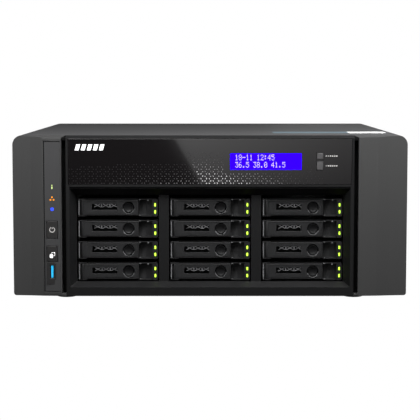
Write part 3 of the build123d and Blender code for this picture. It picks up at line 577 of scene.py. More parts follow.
def mark_flats(mesh: bpy.types.Mesh, angle: float) -> None:
    """Shade a mesh's flat regions flat and its curved ones smooth.

    Args:
        mesh: The mesh, changed in place.
        angle: Edges at least this sharp, in degrees, end a curved region.
    """
    bm = bmesh.new()
    bm.from_mesh(mesh)
    done: set[bmesh.types.BMFace] = set()
    for seed in bm.faces:
        if seed in done:
            continue
        region, front, curved = [], [seed], False
        done.add(seed)
        while front:
            face = front.pop()
            region.append(face)
            for edge in face.edges:
                turn = math.degrees(edge.calc_face_angle(math.pi)) if len(edge.link_faces) == 2 else 180.0
                curved = curved or FLAT_TURN < turn < angle
                for other in edge.link_faces:
                    if turn <= FLAT_TURN and other not in done:
                        done.add(other)
                        front.append(other)
        spots = [v.co for face in region for v in face.verts]
        long = max(max(p[i] for p in spots) - min(p[i] for p in spots) for i in range(3))
        wide = sum(face.calc_area() for face in region) / max(long, 1e-9)
        for face in region:
            face.smooth = curved and wide < FLAT_WIDTH * MM
    bm.to_mesh(mesh)
    bm.free()


def soften(piece: Piece, width: float, segments: int = 2, angle: float = 35.0) -> Piece:
    """Round a piece's sharp edges, shade the roundings smooth and keep the flats flat.

    Args:
        piece: The piece, changed in place.
        width: The rounding, in millimetres.
        segments: Faces across each rounding.
        angle: Edges sharper than this many degrees are rounded.

    Returns:
        The same piece.
    """
    mark_flats(piece.data, angle)
    flats = len(piece.data.materials) or 1
    step = piece.modifiers.new("soften", "BEVEL")
    step.width = width * MM
    step.segments = segments
    step.limit_method = "ANGLE"
    step.angle_limit = math.radians(angle)
    while len(piece.data.materials) < flats + 1:
        piece.data.materials.append(None)
    step.material = flats
    settle(piece)
    for face in piece.data.polygons:
        if face.material_index == flats:
            face.use_smooth = True
            face.material_index = 0
    piece.data.materials.clear()
    return piece


def join(name: str, pieces: Sequence[Piece]) -> Piece:
    """Join separate shells into one object and keep their materials.

    Args:
        name: The joined object's name.
        pieces: The shells, used up.

    Returns:
        The joined object.
    """
    first = pieces[0]
    with bpy.context.temp_override(active_object=first, selected_editable_objects=list(pieces)):
        bpy.ops.object.join()
    first.name = name
    return first


def paint(piece: Piece, finish: Finish) -> Piece:
    """Give a whole piece one finish.

    Args:
        piece: The piece, changed in place.
        finish: Its finish.

    Returns:
        The same piece.
    """
    piece.data.materials.clear()
    piece.data.materials.append(finish.make())
    return piece


def moved(piece: Piece, name: str, offset: Vector) -> Piece:
    """Copy a master piece to another place, with the offset in its mesh.

    Args:
        piece: The master, which stays.
        name: The copy's name.
        offset: How far the copy is moved, in metres.

    Returns:
        The copy.
    """
    copy = new_object(name, piece.data.copy())
    copy.data.transform(Matrix.Translation(offset))
    return copy


def from_cad(node: str, name: str, finish: Finish, width: float = 0.3, angle: float = 35.0) -> Piece:
    """Make a finished copy of a node's shape, merged and with rounded edges.

    Args:
        node: The node.
        name: The new piece's name.
        finish: Its finish.
        width: Edge rounding in millimetres.
        angle: Edges sharper than this many degrees are rounded.

    Returns:
        The piece, which isn't riding yet.
    """
    bm = bmesh.new()
    bm.from_mesh(frame["nodes"][node].data)
    bmesh.ops.remove_doubles(bm, verts=bm.verts, dist=2e-6)
    mesh = bpy.data.meshes.new(name)
    bm.to_mesh(mesh)
    bm.free()
    piece = new_object(name, mesh)
    soften(piece, width, 2, angle)
    return paint(piece, finish)


def ship(piece: Piece, body: str, nodes: Sequence[str] = ()) -> None:
    """Hand a finished piece to its body.

    Args:
        piece: The finished piece.
        body: The body it moves with.
        nodes: The nodes it stands for.
    """
    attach(piece, body)
    if nodes:
        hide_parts(*nodes)
    LOG.info("%s rides on %s, %d faces", piece.name, body, len(piece.data.polygons))


def corner(node: str) -> tuple[Vector, Vector]:
    """Give a node's low and high corners in millimetres."""
    low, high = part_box(node)
    return Vector(low) / MM, Vector(high) / MM


# ---- repeated pieces by nodes ----------------------------------------------------------------------


@dataclass
class Scatter:
    """A node tree that sets one small solid on every point of a mesh, at the point's own size."""

    name: str

    def tree(self) -> Any:
        """Build the tree: inputs for the solid, its size and its material.

        Returns:
            The node tree.
        """
        tree = bpy.data.node_groups.new(self.name, "GeometryNodeTree")
        face = tree.interface
        face.new_socket("Geometry", in_out="INPUT", socket_type="NodeSocketGeometry")
        face.new_socket("Piece", in_out="INPUT", socket_type="NodeSocketObject")
        face.new_socket("Size", in_out="INPUT", socket_type="NodeSocketFloat")
        face.new_socket("Material", in_out="INPUT", socket_type="NodeSocketMaterial")
        face.new_socket("Geometry", in_out="OUTPUT", socket_type="NodeSocketGeometry")
        given = add_node(tree, "NodeGroupInput").outputs
        solid = add_node(tree, "GeometryNodeObjectInfo", {"Object": given["Piece"]})
        own = add_node(tree, "GeometryNodeInputNamedAttribute", {"Name": "size"}, data_type="FLOAT")
        size = add_node(tree, "ShaderNodeMath", {0: own.outputs[0], 1: given["Size"]}, operation="MULTIPLY")
        spots = add_node(
            tree,
            "GeometryNodeInstanceOnPoints",
            {"Points": given["Geometry"], "Instance": solid.outputs["Geometry"], "Scale": size.outputs[0]},
        )
        real = add_node(tree, "GeometryNodeRealizeInstances", {0: spots.outputs[0]})
        dressed = add_node(
            tree, "GeometryNodeSetMaterial", {"Geometry": real.outputs[0], "Material": given["Material"]}
        )
        add_node(tree, "NodeGroupOutput", {0: dressed.outputs[0]})
        return tree

    def spread(
        self, points: Sequence[tuple[Vector, float]], solid: Piece, finish: Finish
    ) -> Piece:
        """Set the solid on every point.

        Args:
            points: Places in millimetres, each with its own size.
            solid: The small solid, made round the origin; it is used up.
            finish: The finish of the result.

        Returns:
            One plain mesh of all the copies.
        """
        mesh = bpy.data.meshes.new(self.name)
        mesh.from_pydata([p * MM for p, _ in points], [], [])
        sizes = mesh.attributes.new("size", "FLOAT", "POINT")
        for index, (_, size) in enumerate(points):
            sizes.data[index].value = size
        piece = new_object(self.name, mesh)
        step = piece.modifiers.new("scatter", "NODES")
        tree = self.tree()
        step.node_group = tree
        wanted = {"Piece": solid, "Size": 1.0, "Material": finish.make()}
        for item in tree.interface.items_tree:
            if item.in_out == "INPUT" and item.name in wanted:
                step[item.identifier] = wanted[item.name]
        settle(piece)
        paint(piece, finish)
        drop(solid)
        return piece


# ---- the casing --------------------------------------------------------------------------------------


@dataclass
class Casing:
    """Steel cover, floor pan, rear wall, feet, screws and the two blank labels on top.

    Attributes:
        sink: How far the cover's top lies under the outline, so that a label can lie on it.
        label_back: Distance of the labels behind the front face.
        label_depth: Size of the labels from front to back.
        paper_x: Left and right edges of the white label.
        film_x: Left and right edges of the blue-grey one.
        foot_r: Radius of a foot.
        fan: Side of a fan's square frame.
        fan_inset: Distance of a fan's screws from its edges.
    """

    sink: float = 0.15
    label_back: float = 65.0
    label_depth: float = 31.0
    paper_x: Span = (135.0, 171.0)
    film_x: Span = (61.5, 135.0)
    foot_r: float = 10.0
    fan: float = 92.0
    fan_inset: float = 4.75

    def build(self) -> None:
        """Make and hand over every piece of the casing."""
        cover = from_cad("top_cover", "wrap_cover", COVER_PAINT, 0.4)
        top = corner("top_cover")[1].z
        for vertex in cover.data.vertices:
            if vertex.co.z > (top - 2 * self.sink) * MM:
                vertex.co.z -= self.sink * MM
        ship(cover, "root", ["top_cover"])
        ship(from_cad("base_pan", "floor_pan", BASE_PAINT, 0.3), "root", ["base_pan"])
        wall = from_cad("rear_panel", "rear_wall", REAR_PAINT, 0.25)
        ship(wall, "root", ["rear_panel"])
        self.labels(top)
        self.feet()
        self.screws()

    def labels(self, top: float) -> None:
        """Lay the two blank labels on the cover.

        Args:
            top: Height of the casing's outline.
        """
        front = corner("bay_bezel")[0].y + self.label_back
        kinds = (("top_label", self.paper_x, LABEL_PAPER_GLOWING), ("top_film", self.film_x, STRIP_FILM))
        for name, x, finish in kinds:
            outline = rounded(x, (front, front + self.label_depth), 1.5, 4)
            label = prism(name, outline, top - self.sink - 0.01, top - 0.01)
            ship(paint(label, finish), "root")

    def feet(self) -> None:
        """Turn four rubber feet with a moulded ring and a rounded rim."""
        low, high = corner("feet")
        radius, tall = self.foot_r, high.z
        profile = ((0, tall), (9.4, tall), (radius, tall - 0.6), (radius, 1.2), (9.2, 0.25), (8.4, 0.0),
                   (6.4, 0.0), (6.0, 0.5), (0, 0.5))
        feet = []
        for x in (low.x + radius, high.x - radius):
            for y in (low.y + radius, high.y - radius):
                foot = lathe("foot", profile, (0, 0), 48)
                foot.data.transform(Matrix.Rotation(math.pi / 2, 4, "X"))
                foot.data.transform(Matrix.Translation(Vector((x, y, 0)) * MM))
                feet.append(foot)
        piece = join("rubber_feet", feet)
        piece.data.shade_smooth()
        piece.data.set_sharp_from_angle(angle=math.radians(40))
        ship(paint(piece, FOOT_RUBBER), "root", ["feet"])

    def screws(self) -> None:
        """Set a cross-recessed screw at every fastening point of the rear."""
        low, high = corner("screws")
        profile = ((0, -1.0), (2.1, -1.0), (3.0, -0.4), (3.0, 0.0), (1.4, 0.0), (1.4, 6.0), (0, 6.0))
        head = lathe("head", profile, (0, 0), 20)
        long, short, deep = (-2.0, 2.0), (-0.35, 0.35), (-2.0, -0.4)
        bars = [block("bar", long, deep, short), block("bar", short, deep, long)]
        combine(head, bars, "DIFFERENCE")
        head.data.transform(Matrix.Rotation(math.pi, 4, "Z"))
        wall = corner("rear_panel")[1].y
        points = [(Vector((x, high.y - 1.0, high.z - 3.0)), 1.0) for x in (low.x + 3, 0, high.x - 3)]
        frames = corner("fan_frames")
        inset = self.fan_inset
        for left in (frames[0].x, frames[1].x - self.fan):
            for x in (left + inset, left + self.fan - inset):
                for z in (frames[0].z + inset, frames[1].z - inset):
                    points.append((Vector((x, wall + 0.2, z)), 1.0))
        piece = Scatter("rear_screws").spread(points, head, BLACK_OXIDE)
        ship(piece, "root", ["screws"])


# ---- the front -----------------------------------------------------------------------------------------


@dataclass
class Front:
    """End pillars, bay frame, gloss panel with its dot pattern, display and keys.

    Attributes:
        groove_x: How far from the middle the grooves beside the bays reach; their faces are painted near
            black as shade.
        groove_low: Where the grooves start.
        dot_side: Side of the honeycomb on whose corners the dots lie.
        dot_rows: Rows of dots above the panel's lower edge.
        dot_size: Across a dot, at its largest.
        dot_peak: Where along the panel's lower edge the dots are brightest; this brightening is a painted
            reflection of the card's slanted edge.
        dot_lean: How far that place moves left for each millimetre up.
        dot_reach: How far to its left and to its right they fade out.
        dot_levels: Strengths above which a dot takes each of the first three tones.
        dot_start: Where the first dot lies, from the panel's left and lower edges.
        key_z: Height above which the keys and their marks stand.
        mark_x: Left end of the plain row of marks.
        mark_z: Their bottom and top.
        mark_pitch: Spacing, width and slant of the five marks.
        cell: Spacing of the display's dots, across and down.
        lines: The display's two lines: a date with a clock, and three temperatures.
    """

    groove_x: float = 138.1
    groove_low: float = 7.4
    dot_side: float = 2.5
    dot_rows: int = 14
    dot_size: float = 1.35
    dot_peak: float = -5.0
    dot_lean: float = 0.58
    dot_reach: Span = (170.0, 120.0)
    dot_levels: tuple[float, float, float] = (0.62, 0.38, 0.22)
    dot_start: Point = (1.2, 1.3)
    key_z: float = 121.0
    mark_x: float = -125.5
    mark_z: Span = (141.3, 146.9)
    mark_pitch: tuple[float, float, float] = (5.6, 3.7, 1.6)
    cell: Point = (0.56, 0.76)
    lines: tuple[str, str] = ("18-11 12:45", "36.5 38.0 41.5")

    def build(self) -> None:
        """Make and hand over every piece of the front."""
        for side in ("left", "right"):
            node = f"{side}_pillar"
            moulding = from_cad(node, f"{side}_end_moulding", PILLAR_ABS, 0.35, 3.0)
            # Faces in the grooves beside the bays get the near-black finish: painted shade.
            moulding.data.materials.append(GROOVE_SHADE_BLACK.make())
            for face in moulding.data.polygons:
                if abs(face.center.x) < self.groove_x * MM and face.center.z > self.groove_low * MM:
                    face.material_index = 1
            ship(moulding, "root", [node])
        ship(from_cad("bay_bezel", "bay_frame", BEZEL_ABS, 0.35), "root", ["bay_bezel"])
        panel = from_cad("front_fascia", "gloss_panel", FASCIA_GLOSS, 0.15)
        ship(panel, "root", ["front_fascia"])
        self.dots()
        self.marks()
        self.display()
        for key in ("enter", "select"):
            piece = from_cad(f"{key}_button", f"{key}_key", KEY_GREY, 0.3)
            ship(piece, f"{key}_key", [f"{key}_button"])

    def dots(self) -> None:
        """Lay the fading honeycomb of dots along the panel's lower part."""
        low, high = corner("front_fascia")
        groups: list[list[tuple[Vector, float]]] = [[] for _ in DOT_PRINT_AND_GLARE_TONES]
        step = self.dot_side
        for row in range(self.dot_rows):
            z = low.z + self.dot_start[1] + row * step * math.sqrt(3) / 2
            # The dots' level peaks along a line that leans like the slanted edge the gloss panel reflects: a
            # painted reflection, on top of a fade upwards.
            middle = self.dot_peak - self.dot_lean * (z - low.z)
            for cell in range(int((high.x - low.x) / (3 * step))):
                for shift in (0.0, step):
                    x = low.x + self.dot_start[0] + (3 * cell + 1.5 * (row % 2)) * step + shift
                    left = x < middle
                    across = max(0.0, 1 - abs(x - middle) / self.dot_reach[0 if left else 1])
                    rise = 1 - row / self.dot_rows * (1.45 if left else 1.0)
                    level = across * rise * (0.5 if left else 1.0)
                    if level > 0.05 and rise > 0 and x < high.x - 1 and not self.behind_display(x, z):
                        tone = sum(level <= limit for limit in self.dot_levels)
                        groups[tone].append((Vector((x, low.y, z)), self.dot_size * (0.55 + 0.45 * level)))
        for finish, points in zip(DOT_PRINT_AND_GLARE_TONES, groups):
            if points:
                spot = prism("spot", circle((0, 0), 0.5, 6), -0.02, 0.05, "Y")
                ship(Scatter(f"{finish.name}s").spread(points, spot, finish), "root")

    def behind_display(self, x: float, z: float) -> bool:
        """Say whether a dot would lie on the display or beside a key.

        Args:
            x: The dot's place across, in millimetres.
            z: Its height.

        Returns:
            True where the dot has to be left out.
        """
        low, high = corner("lcd_module")
        on_display = low.x - 1 < x < high.x + 1 and z > low.z + 1
        return on_display or (z > self.key_z and x > corner("select_button")[0].x - 1)

    def marks(self) -> None:
        """Print a plain row of slanted bars at the upper left, and an arrow with dashes beside each key."""
        y = corner("front_fascia")[0].y
        span = (y + INK_Y[0], y + INK_Y[1])
        low, high = self.mark_z
        pitch, wide, slant = self.mark_pitch
        bars = []
        for index in range(5):
            x = self.mark_x + index * pitch
            outline = ((x, low), (x + wide, low), (x + wide + slant, high), (x + slant, high))
            bars.append(prism("bar", outline, *span, "Y"))
        labels = []
        for key in ("enter", "select"):
            key_low, key_high = corner(f"{key}_button")
            x, z = key_high.x + 0.4, (key_low.z + key_high.z) / 2
            labels.append(prism("arrow", ((x, z), (x + 1.1, z - 0.65), (x + 1.1, z + 0.65)), *span, "Y"))
            for step in range(5):
                left = x + 2.3 + step * 1.9
                labels.append(plate("dash", (left, left + 1.25), span, around(z, 0.5), 0.2, 2))
        # Both inks carry a painted glow.
        pieces = [paint(join("bars", bars), WHITE_INK_GLOWING), paint(join("labels", labels), GREY_INK_GLOWING)]
        ship(join("printed_marks", pieces), "root")

    def display(self) -> None:
        """Make the display's window, its cell and board, and its lit dots."""
        low, high = corner("lcd_module")
        rim, rim_z = 3.5, 3.0
        window_x, window_z = (low.x + rim, high.x - rim), (low.z + rim_z, high.z - rim_z)
        window = block("window", window_x, (low.y, low.y + 2.2), window_z)
        soften(window, 0.2)
        cell = block("cell", (low.x, high.x), (low.y + 2.5, high.y - 1.8), (low.z, high.z))
        board = block("board", (low.x, high.x), (high.y - 1.6, high.y), (low.z, high.z))
        for part, finish in ((window, DISPLAY_BLUE), (cell, CHIP_EPOXY), (board, BOARD_MASK)):
            paint(part, finish)
        ship(join("display_module", [window, cell, board]), "root", ["lcd_module"])
        points = []
        for line, text in enumerate(self.lines):
            for place, letter in enumerate(text):
                left = window_x[0] + 5.0 + place * 6 * self.cell[0]
                top = window_z[1] - 1.5 - line * 9 * self.cell[1]
                points += [
                    (Vector((left + column * self.cell[0], low.y - 0.02, top - row * self.cell[1])), 1.0)
                    for column, row in lit_cells(letter)
                ]
        half = (self.cell[0] * 0.46, self.cell[1] * 0.42)
        dot = block("dot", (-half[0], half[0]), (-0.02, 0.03), (-half[1], half[1]))
        ship(Scatter("display_dots").spread(points, dot, DISPLAY_PALE), "root")


# Plain figures of five by seven cells: each pair of hexadecimal digits is one row, from the top.
FONT = {
    "0": "0E11131519110E", "1": "040C040404040E", "2": "0E11010204081F", "3": "1F02040201110E",
    "4": "02060A121F0202", "5": "1F101E0101110E", "6": "0608101E11110E", "7": "1F010204080808",
    "8": "0E11110E11110E", "9": "0E11110F01020C", ":": "000C0C000C0C00", "-": "0000001F000000",
    ".": "00000000000C0C", " ": "00000000000000",
}


def lit_cells(letter: str) -> list[tuple[int, int]]:
    """Give the lit cells of a figure.

    Args:
        letter: A key of FONT.

    Returns:
        (column, row) of every lit cell, on a grid five wide and seven high.
    """
    rows = [int(FONT[letter][2 * i : 2 * i + 2], 16) for i in range(7)]
    return [(column, row) for row in range(7) for column in range(5) if rows[row] >> (4 - column) & 1]


@dataclass
class ControlStrip:
    """Strip of lights, two push keys and a port on the left pillar.

    Attributes:
        icon_x: The column on which the marks are centred.
        state_z: Height of the state light.
        network_z: Height of the network light.
        disk_z: Height of the drive light.
        slope: How far the strip's face falls back for each millimetre to the left.
        ink: Where the keys' marks start and end, from the key's face.
        port_at: Middle of the front port, across and up.
        ring: Outer and inner radius of the power mark.
    """

    icon_x: float = -147.0
    state_z: float = 107.0
    network_z: float = 96.4
    disk_z: float = 86.4
    slope: float = 1.3 / 17.5
    ink: Span = (-0.05, 0.03)
    port_at: Point = (-147.4, 27.7)
    ring: Span = (2.6, 2.05)

    def build(self) -> None:
        """Make and hand over every piece of the strip."""
        strip = from_cad("control_strip", "light_strip", STRIP_ABS, 0.2)
        ship(strip, "root", ["control_strip"])
        for key in ("power", "copy"):
            low, high = corner(f"{key}_button")
            cap = plate("cap", (low.x, high.x), (low.y, high.y), (low.z, high.z), 1.2)
            soften(cap, 0.35)
            paint(cap, KEY_DARK)
            power = key == "power"
            mark = self.power_mark(low, high) if power else self.copy_mark(low, high)
            # The key's mark carries a painted glow.
            piece = join(f"{key}_push_key", [cap, paint(mark, GREY_INK_GLOWING if power else WHITE_INK_GLOWING)])
            ship(piece, f"{key}_key", [f"{key}_button"])
        self.lights()
        self.border()
        self.port_surround()

    def surface(self, x: float) -> float:
        """Depth of the strip's face at x, from its own slope."""
        low, high = corner("control_strip")
        return low.y + (high.x - x) * self.slope

    def flat(self, name: str, x: Span, z: Span, radius: float, finish: Finish, steps: int = 6) -> Piece:
        """Make a thin mark that follows the strip's slope.

        Args:
            name: The mark's name.
            x: Its left and right edges, in millimetres.
            z: Its bottom and top.
            radius: Corner radius.
            finish: Its finish.
            steps: Segments in each corner.

        Returns:
            The mark.
        """
        mark = plate(name, x, (0.0, 0.08), z, radius, steps)
        for vertex in mark.data.vertices:
            vertex.co.y += (self.surface(vertex.co.x / MM) - 0.06) * MM
        return paint(mark, finish)

    def lights(self) -> None:
        """Make the three lit marks: state, network and drive."""
        x = self.icon_x
        thin = around(x, 0.5)
        parts = [
            self.flat("stem", thin, (self.state_z - 1.7, self.state_z + 0.7), 0.45, STATE_GREEN, 3),
            self.flat("point", thin, (self.state_z + 1.2, self.state_z + 2.2), 0.45, STATE_GREEN, 3),
            self.flat("disk", around(x, 1.5), around(self.disk_z, 1.5), 1.1, DISK_BLUE),
        ]
        for dx, dz in ((0, 1.2), (-1.5, -1.2), (1.5, -1.2)):
            z = self.network_z + dz
            parts.append(self.flat("net", around(x + dx, 0.75), around(z, 0.75), 0.3, NET_ORANGE, 3))
        ship(join("strip_lights", parts), "root")

    def border(self) -> None:
        """Paint a flat black border along the strip's left, upper and lower edges: painted shade for the seam
        round the strip.
        """
        low, high = corner("control_strip")
        inner = 0.9
        spans = (
            ((low.x + 0.05, low.x + inner), (low.z + 0.1, high.z - 0.1)),
            ((low.x + inner, high.x - 0.1), (high.z - inner, high.z - 0.1)),
            ((low.x + inner, high.x - 0.1), (low.z + 0.1, low.z + 0.6)),
        )
        edges = [self.flat("edge", x, z, 0.2, SEAM_SHADE_BLACK, 2) for x, z in spans]
        ship(join("strip_border", edges), "root")

    def power_mark(self, low: Vector, high: Vector) -> Piece:
        """Ring with a gap and a stroke on the power key.

        Args:
            low: The key's low corner.
            high: Its high corner.

        Returns:
            The mark, without a finish.
        """
        centre = ((low.x + high.x) / 2, (low.z + high.z) / 2)
        span = (low.y + self.ink[0], low.y + self.ink[1])
        start, sweep, steps = math.radians(115), math.radians(310), 28
        outer, inner = (circle(centre, radius, steps, start, sweep) for radius in self.ring)
        ring = prism("ring", outer + inner[::-1], *span, "Y")
        stroke = plate("stroke", around(centre[0], 0.28), span, (centre[1] + 0.6, centre[1] + 2.4), 0.25, 3)
        return join("power_mark", [ring, stroke])

    def copy_mark(self, low: Vector, high: Vector) -> Piece:
        """Two overlapping sheets on the copy key.

        Args:
            low: The key's low corner.
            high: Its high corner.

        Returns:
            The mark, without a finish.
        """
        cx, cz = (low.x + high.x) / 2, (low.z + high.z) / 2 - 1.2
        span = (low.y + self.ink[0], low.y + self.ink[1])
        front = plate("sheet", (cx - 2.2, cx + 0.6), span, (cz - 2.6, cz + 1.0), 0.3, 3)
        edges = [
            plate("edge", (cx + x[0], cx + x[1]), span, (cz + z[0], cz + z[1]), 0.15, 2)
            for x, z in (
                ((-0.3, 2.5), (2.3, 2.7)), ((2.1, 2.5), (-0.4, 2.7)),
                ((1.0, 2.5), (-0.8, -0.4)), ((-0.7, -0.3), (1.4, 2.7)),
            )
        ]
        return join("copy_mark", [front, *edges])

    def port_surround(self) -> None:
        """Dark panel round the front port, and the blue tongue in it, which has a painted glow."""
        copy_low, copy_high = corner("copy_button")
        strip = corner("control_strip")[0]
        y = copy_low.y
        span_z = (strip.z + 6.8, copy_low.z - 0.3)
        panel = plate("panel", (copy_low.x, copy_high.x), (y, y + 0.9), span_z, 1.2)
        cx, cz = self.port_at
        hole = block("hole", around(cx, 2.0), (y - 1, y + 2), around(cz, 6.4))
        combine(panel, [hole], "DIFFERENCE")
        soften(panel, 0.2)
        ship(paint(panel, KEY_DARK), "root")
        tongue = block("tongue", (cx - 1.1, cx + 0.9), (y + 0.9, y + 3.0), around(cz, 5.6))
        soften(tongue, 0.4)
        ship(paint(tongue, PORT_BLUE_GLOWING), "root")


# ---- the drive bays ------------------------------------------------------------------------------------


@dataclass
class DriveBay:
    """Masters of the tray, lever, release button and drive, measured from the middle of a tray's face.

    Attributes:
        half_w: Half the tray's width.
        half_h: Half the tray's height.
        lever_x: Left and right ends of the lever.
        lever_h: Half the lever's height.
        lever_y: The lever's thickness.
        window_x: The lever's air window.
        window_z: Its bottom and top.
        button_x: Centre of the release button.
        scoop_x: The finger scoop.
        led_x: Centre of the light pipes.
        led_z: Heights of the two light pipes.
        drive: Width, length and height of the drive.
        drive_y: Where the drive starts, behind the face.
        floor_t: Height of the tray floor's top over the tray's underside, with a small gap for the drive.
        pin_at: The hinge pin's place across and behind the face.
        pin_r: Its radius.
    """

    half_w: float = 37.5
    half_h: float = 8.25
    lever_x: Span = (-35.0, 19.3)
    lever_h: float = 7.1
    lever_y: float = 5.2
    window_x: Span = (-24.2, -0.8)
    window_z: Span = (-2.2, 3.5)
    button_x: float = 10.1
    scoop_x: Span = (19.7, 32.3)
    led_x: float = 35.0
    led_z: Span = (-4.0, 2.6)
    drive: tuple[float, float, float] = (69.85, 100.2, 15.0)
    drive_y: float = 17.0
    floor_t: float = 1.05
    pin_at: Point = (-32.4, 2.6)
    pin_r: float = 0.8

    def build(self) -> None:
        """Make each master once and place its copies in every bay."""
        kinds = (
            ("tray", "drive_tray", "tray", "tray_plastic", self.tray()),
            ("lever", "tray_lever", "lever", "lever_plastic", self.lever()),
            ("button", "tray_button", "release", "release_plastic", self.button()),
        )
        for bay in BAYS:
            low, high = corner(f"tray_lever_{bay}")
            origin = Vector((low.x - self.lever_x[0], low.y, (low.z + high.z) / 2)) * MM
            for name, node, body, slot, master in kinds:
                piece = moved(master, f"{name}_piece_{bay}", origin)
                ship(piece, f"{body}_{bay}", [f"{node}_{bay}"])
        for *_, master in kinds:
            drop(master)

    def lever(self) -> Piece:
        """Lever: rounded hinge end, bordered face, truss window and dished button seat.

        Returns:
            The lever with its border lines, pale as painted highlight, its truss and collar.
        """
        left, right = self.lever_x
        outline = circle(self.pin_at, self.lever_y / 2, 14, math.pi / 2, math.pi)
        outline += [(right, 0.0), (right, self.lever_y)]
        body = prism("lever", outline, -self.lever_h, self.lever_h)
        seat = ((0, -1), (6.3, -1), (5.6, 0.0), (4.8, 1.6), (4.8, 3.9), (1.6, 3.9), (1.6, 6), (0, 6))
        cuts = [
            block("cut", self.window_x, (-1, self.lever_y + 1), self.window_z),
            lathe("cut", seat, (self.button_x, 0), 48),
            prism("cut", circle(self.pin_at, self.pin_r + 0.08, 16), -9, 9),
        ]
        combine(body, cuts, "DIFFERENCE")
        soften(body, 0.25)
        paint(body, LEVER_NYLON)
        # Raised border lines in a paler grey: a painted highlight along the face's edges.
        border = [((left + 3.0, right - 1.0), around(z, 0.16)) for z in (-5.9, 5.9)]
        border += [(around(x, 0.12), (-5.8, 5.8)) for x in (left + 3.0, right - 1.3)]
        lines = join("lines", [plate("line", x, (0.0, 0.3), z, 0.1, 2) for x, z in border])
        parts = [body, paint(lines, BORDER_HIGHLIGHT_GREY), self.truss(), self.collar()]
        return join("lever_master", parts)

    def truss(self) -> Piece:
        """Crossed struts in the upper half of the air window.

        Returns:
            The struts as one piece.
        """
        left, right = self.window_x
        low, high = 0.4, self.window_z[1] + 0.1
        half, y = 0.42, (0.3, 1.5)
        cell, gap = 7.7, 1.7
        bars = []
        start = left + 2.2
        while start < right - 1:
            end = start + cell - gap
            for z0, z1 in ((low, high), (high, low)):
                stop = min(end, right + 0.1)
                z_stop = z0 + (z1 - z0) * (stop - start) / (end - start)
                foot, head = around(start, half), around(stop, half)
                outline = ((foot[0], z0), (foot[1], z0), (head[1], z_stop), (head[0], z_stop))
                bars.append(prism("bar", outline, *y, "Y"))
            post = end + gap / 2
            if post < right:
                bars.append(block("bar", around(post, 0.4), y, (low, high)))
            start += cell
        # The struts are pale grey, a painted highlight where they would catch the light.
        return paint(join("truss", bars), PAINTED_HIGHLIGHT_GREY)

    def collar(self) -> Piece:
        """Polished flared ring round the button, with two pale crescents on its lower rim as painted
        highlights.

        Returns:
            The ring and its rims as one piece.
        """
        profile = ((5.6, 0.05), (5.9, 0.0), (5.7, 0.5), (4.95, 2.0), (4.7, 2.0))
        ring = lathe("collar", profile, (self.button_x, 0), 48)
        ring.data.shade_smooth()
        parts = [paint(ring, COLLAR_GLOSS)]
        radius, steps, sweep, thickest = 5.5, 8, math.radians(52), 0.5
        # Two pale crescents on the lower rim: painted highlights.
        for start in (math.radians(192), math.radians(296)):
            outer = circle((self.button_x, 0), radius, steps, start, sweep)
            inner = []
            for i in range(steps + 1):
                reach = radius - thickest * math.sin(math.pi * (i + 0.5) / (steps + 1))
                turn = start + sweep * i / steps
                inner.append((self.button_x + reach * math.cos(turn), reach * math.sin(turn)))
            parts.append(paint(prism("rim", outer + inner[::-1], 0.12, 0.7, "Y"), PAINTED_HIGHLIGHT_GREY))
        return join("collar", parts)

    def button(self) -> Piece:
        """Dished round button with its stem.

        Returns:
            The button.
        """
        dish = ((0, 1.0), (2.0, 0.95), (3.3, 0.6), (3.9, 0.25), (4.3, 0.2), (4.5, 0.45), (4.5, 2.2))
        profile = (*dish, (1.5, 2.2), (1.5, 4.9), (0, 4.9))
        piece = lathe("button_master", profile, (self.button_x, 0), 48)
        piece.data.shade_smooth()
        piece.data.set_sharp_from_angle(angle=math.radians(50))
        return paint(piece, BUTTON_BLACK)

    def tray(self) -> Piece:
        """Tray front, floor and rails, with the light pipes and the drive.

        Returns:
            The tray with everything that moves with it.
        """
        w, h = self.half_w, self.half_h
        front, back = 5.6, 14.0
        seam = front + 1
        scoop, scoop_end = self.scoop_x
        body = block("tray", (-w, w), (front, back), (-h, h))
        post = plate("add", (scoop_end, w), (0, seam), (-h, h), 1.8)
        lips = [block("add", (scoop, scoop_end + 2), (0.6, seam), z) for z in ((-h, -h + 1.0), (h - 1.0, h))]
        edge = ((-w, 1.2), (-w + 0.5, 0.4), (-w + 1.4, 0.0), (-35.3, 0.0), (-35.3, seam), (-w, seam))
        stile = prism("add", edge, -h, h)
        lugs = [block("add", (-35.4, -29.5), (0.0, seam), z) for z in ((-h, -h + 0.85), (h - 0.85, h))]
        combine(body, [post, stile, *lips, *lugs], "UNION")
        slope = ((31.4, 2.6), (29.6, 4.2), (27.0, 5.4), (23.5, 6.3))
        hollow = ((scoop - 0.05, -1), (scoop_end, -1), (scoop_end, 0.9), *slope, (scoop - 0.05, 7.0))
        cuts = [
            prism("cut", hollow, -h + 0.8, h - 0.8),
            block("cut", self.window_x, (front - 1, back + 1), (-5, 5)),
            lathe("cut", ((0, 4), (2.6, 4), (2.6, 9.6), (0, 9.6)), (self.button_x, 0), 24),
        ]
        cuts += [plate("cut", around(self.led_x, 1.2), (-1, 7.9), around(z, 2.15), 1.05) for z in self.led_z]
        combine(body, cuts, "DIFFERENCE")
        soften(body, 0.35)
        paint(body, TRAY_NYLON)
        parts = [body, self.pin(), self.worn_edges(), self.floor_and_rails()]
        return join("tray_master", parts + self.light_pipes() + self.drive_parts())

    def pin(self) -> Piece:
        """Steel pin on which the lever swings.

        Returns:
            The pin.
        """
        reach = self.half_h - 0.9
        return paint(prism("pin", circle(self.pin_at, self.pin_r, 16), -reach, reach), BLACK_OXIDE)

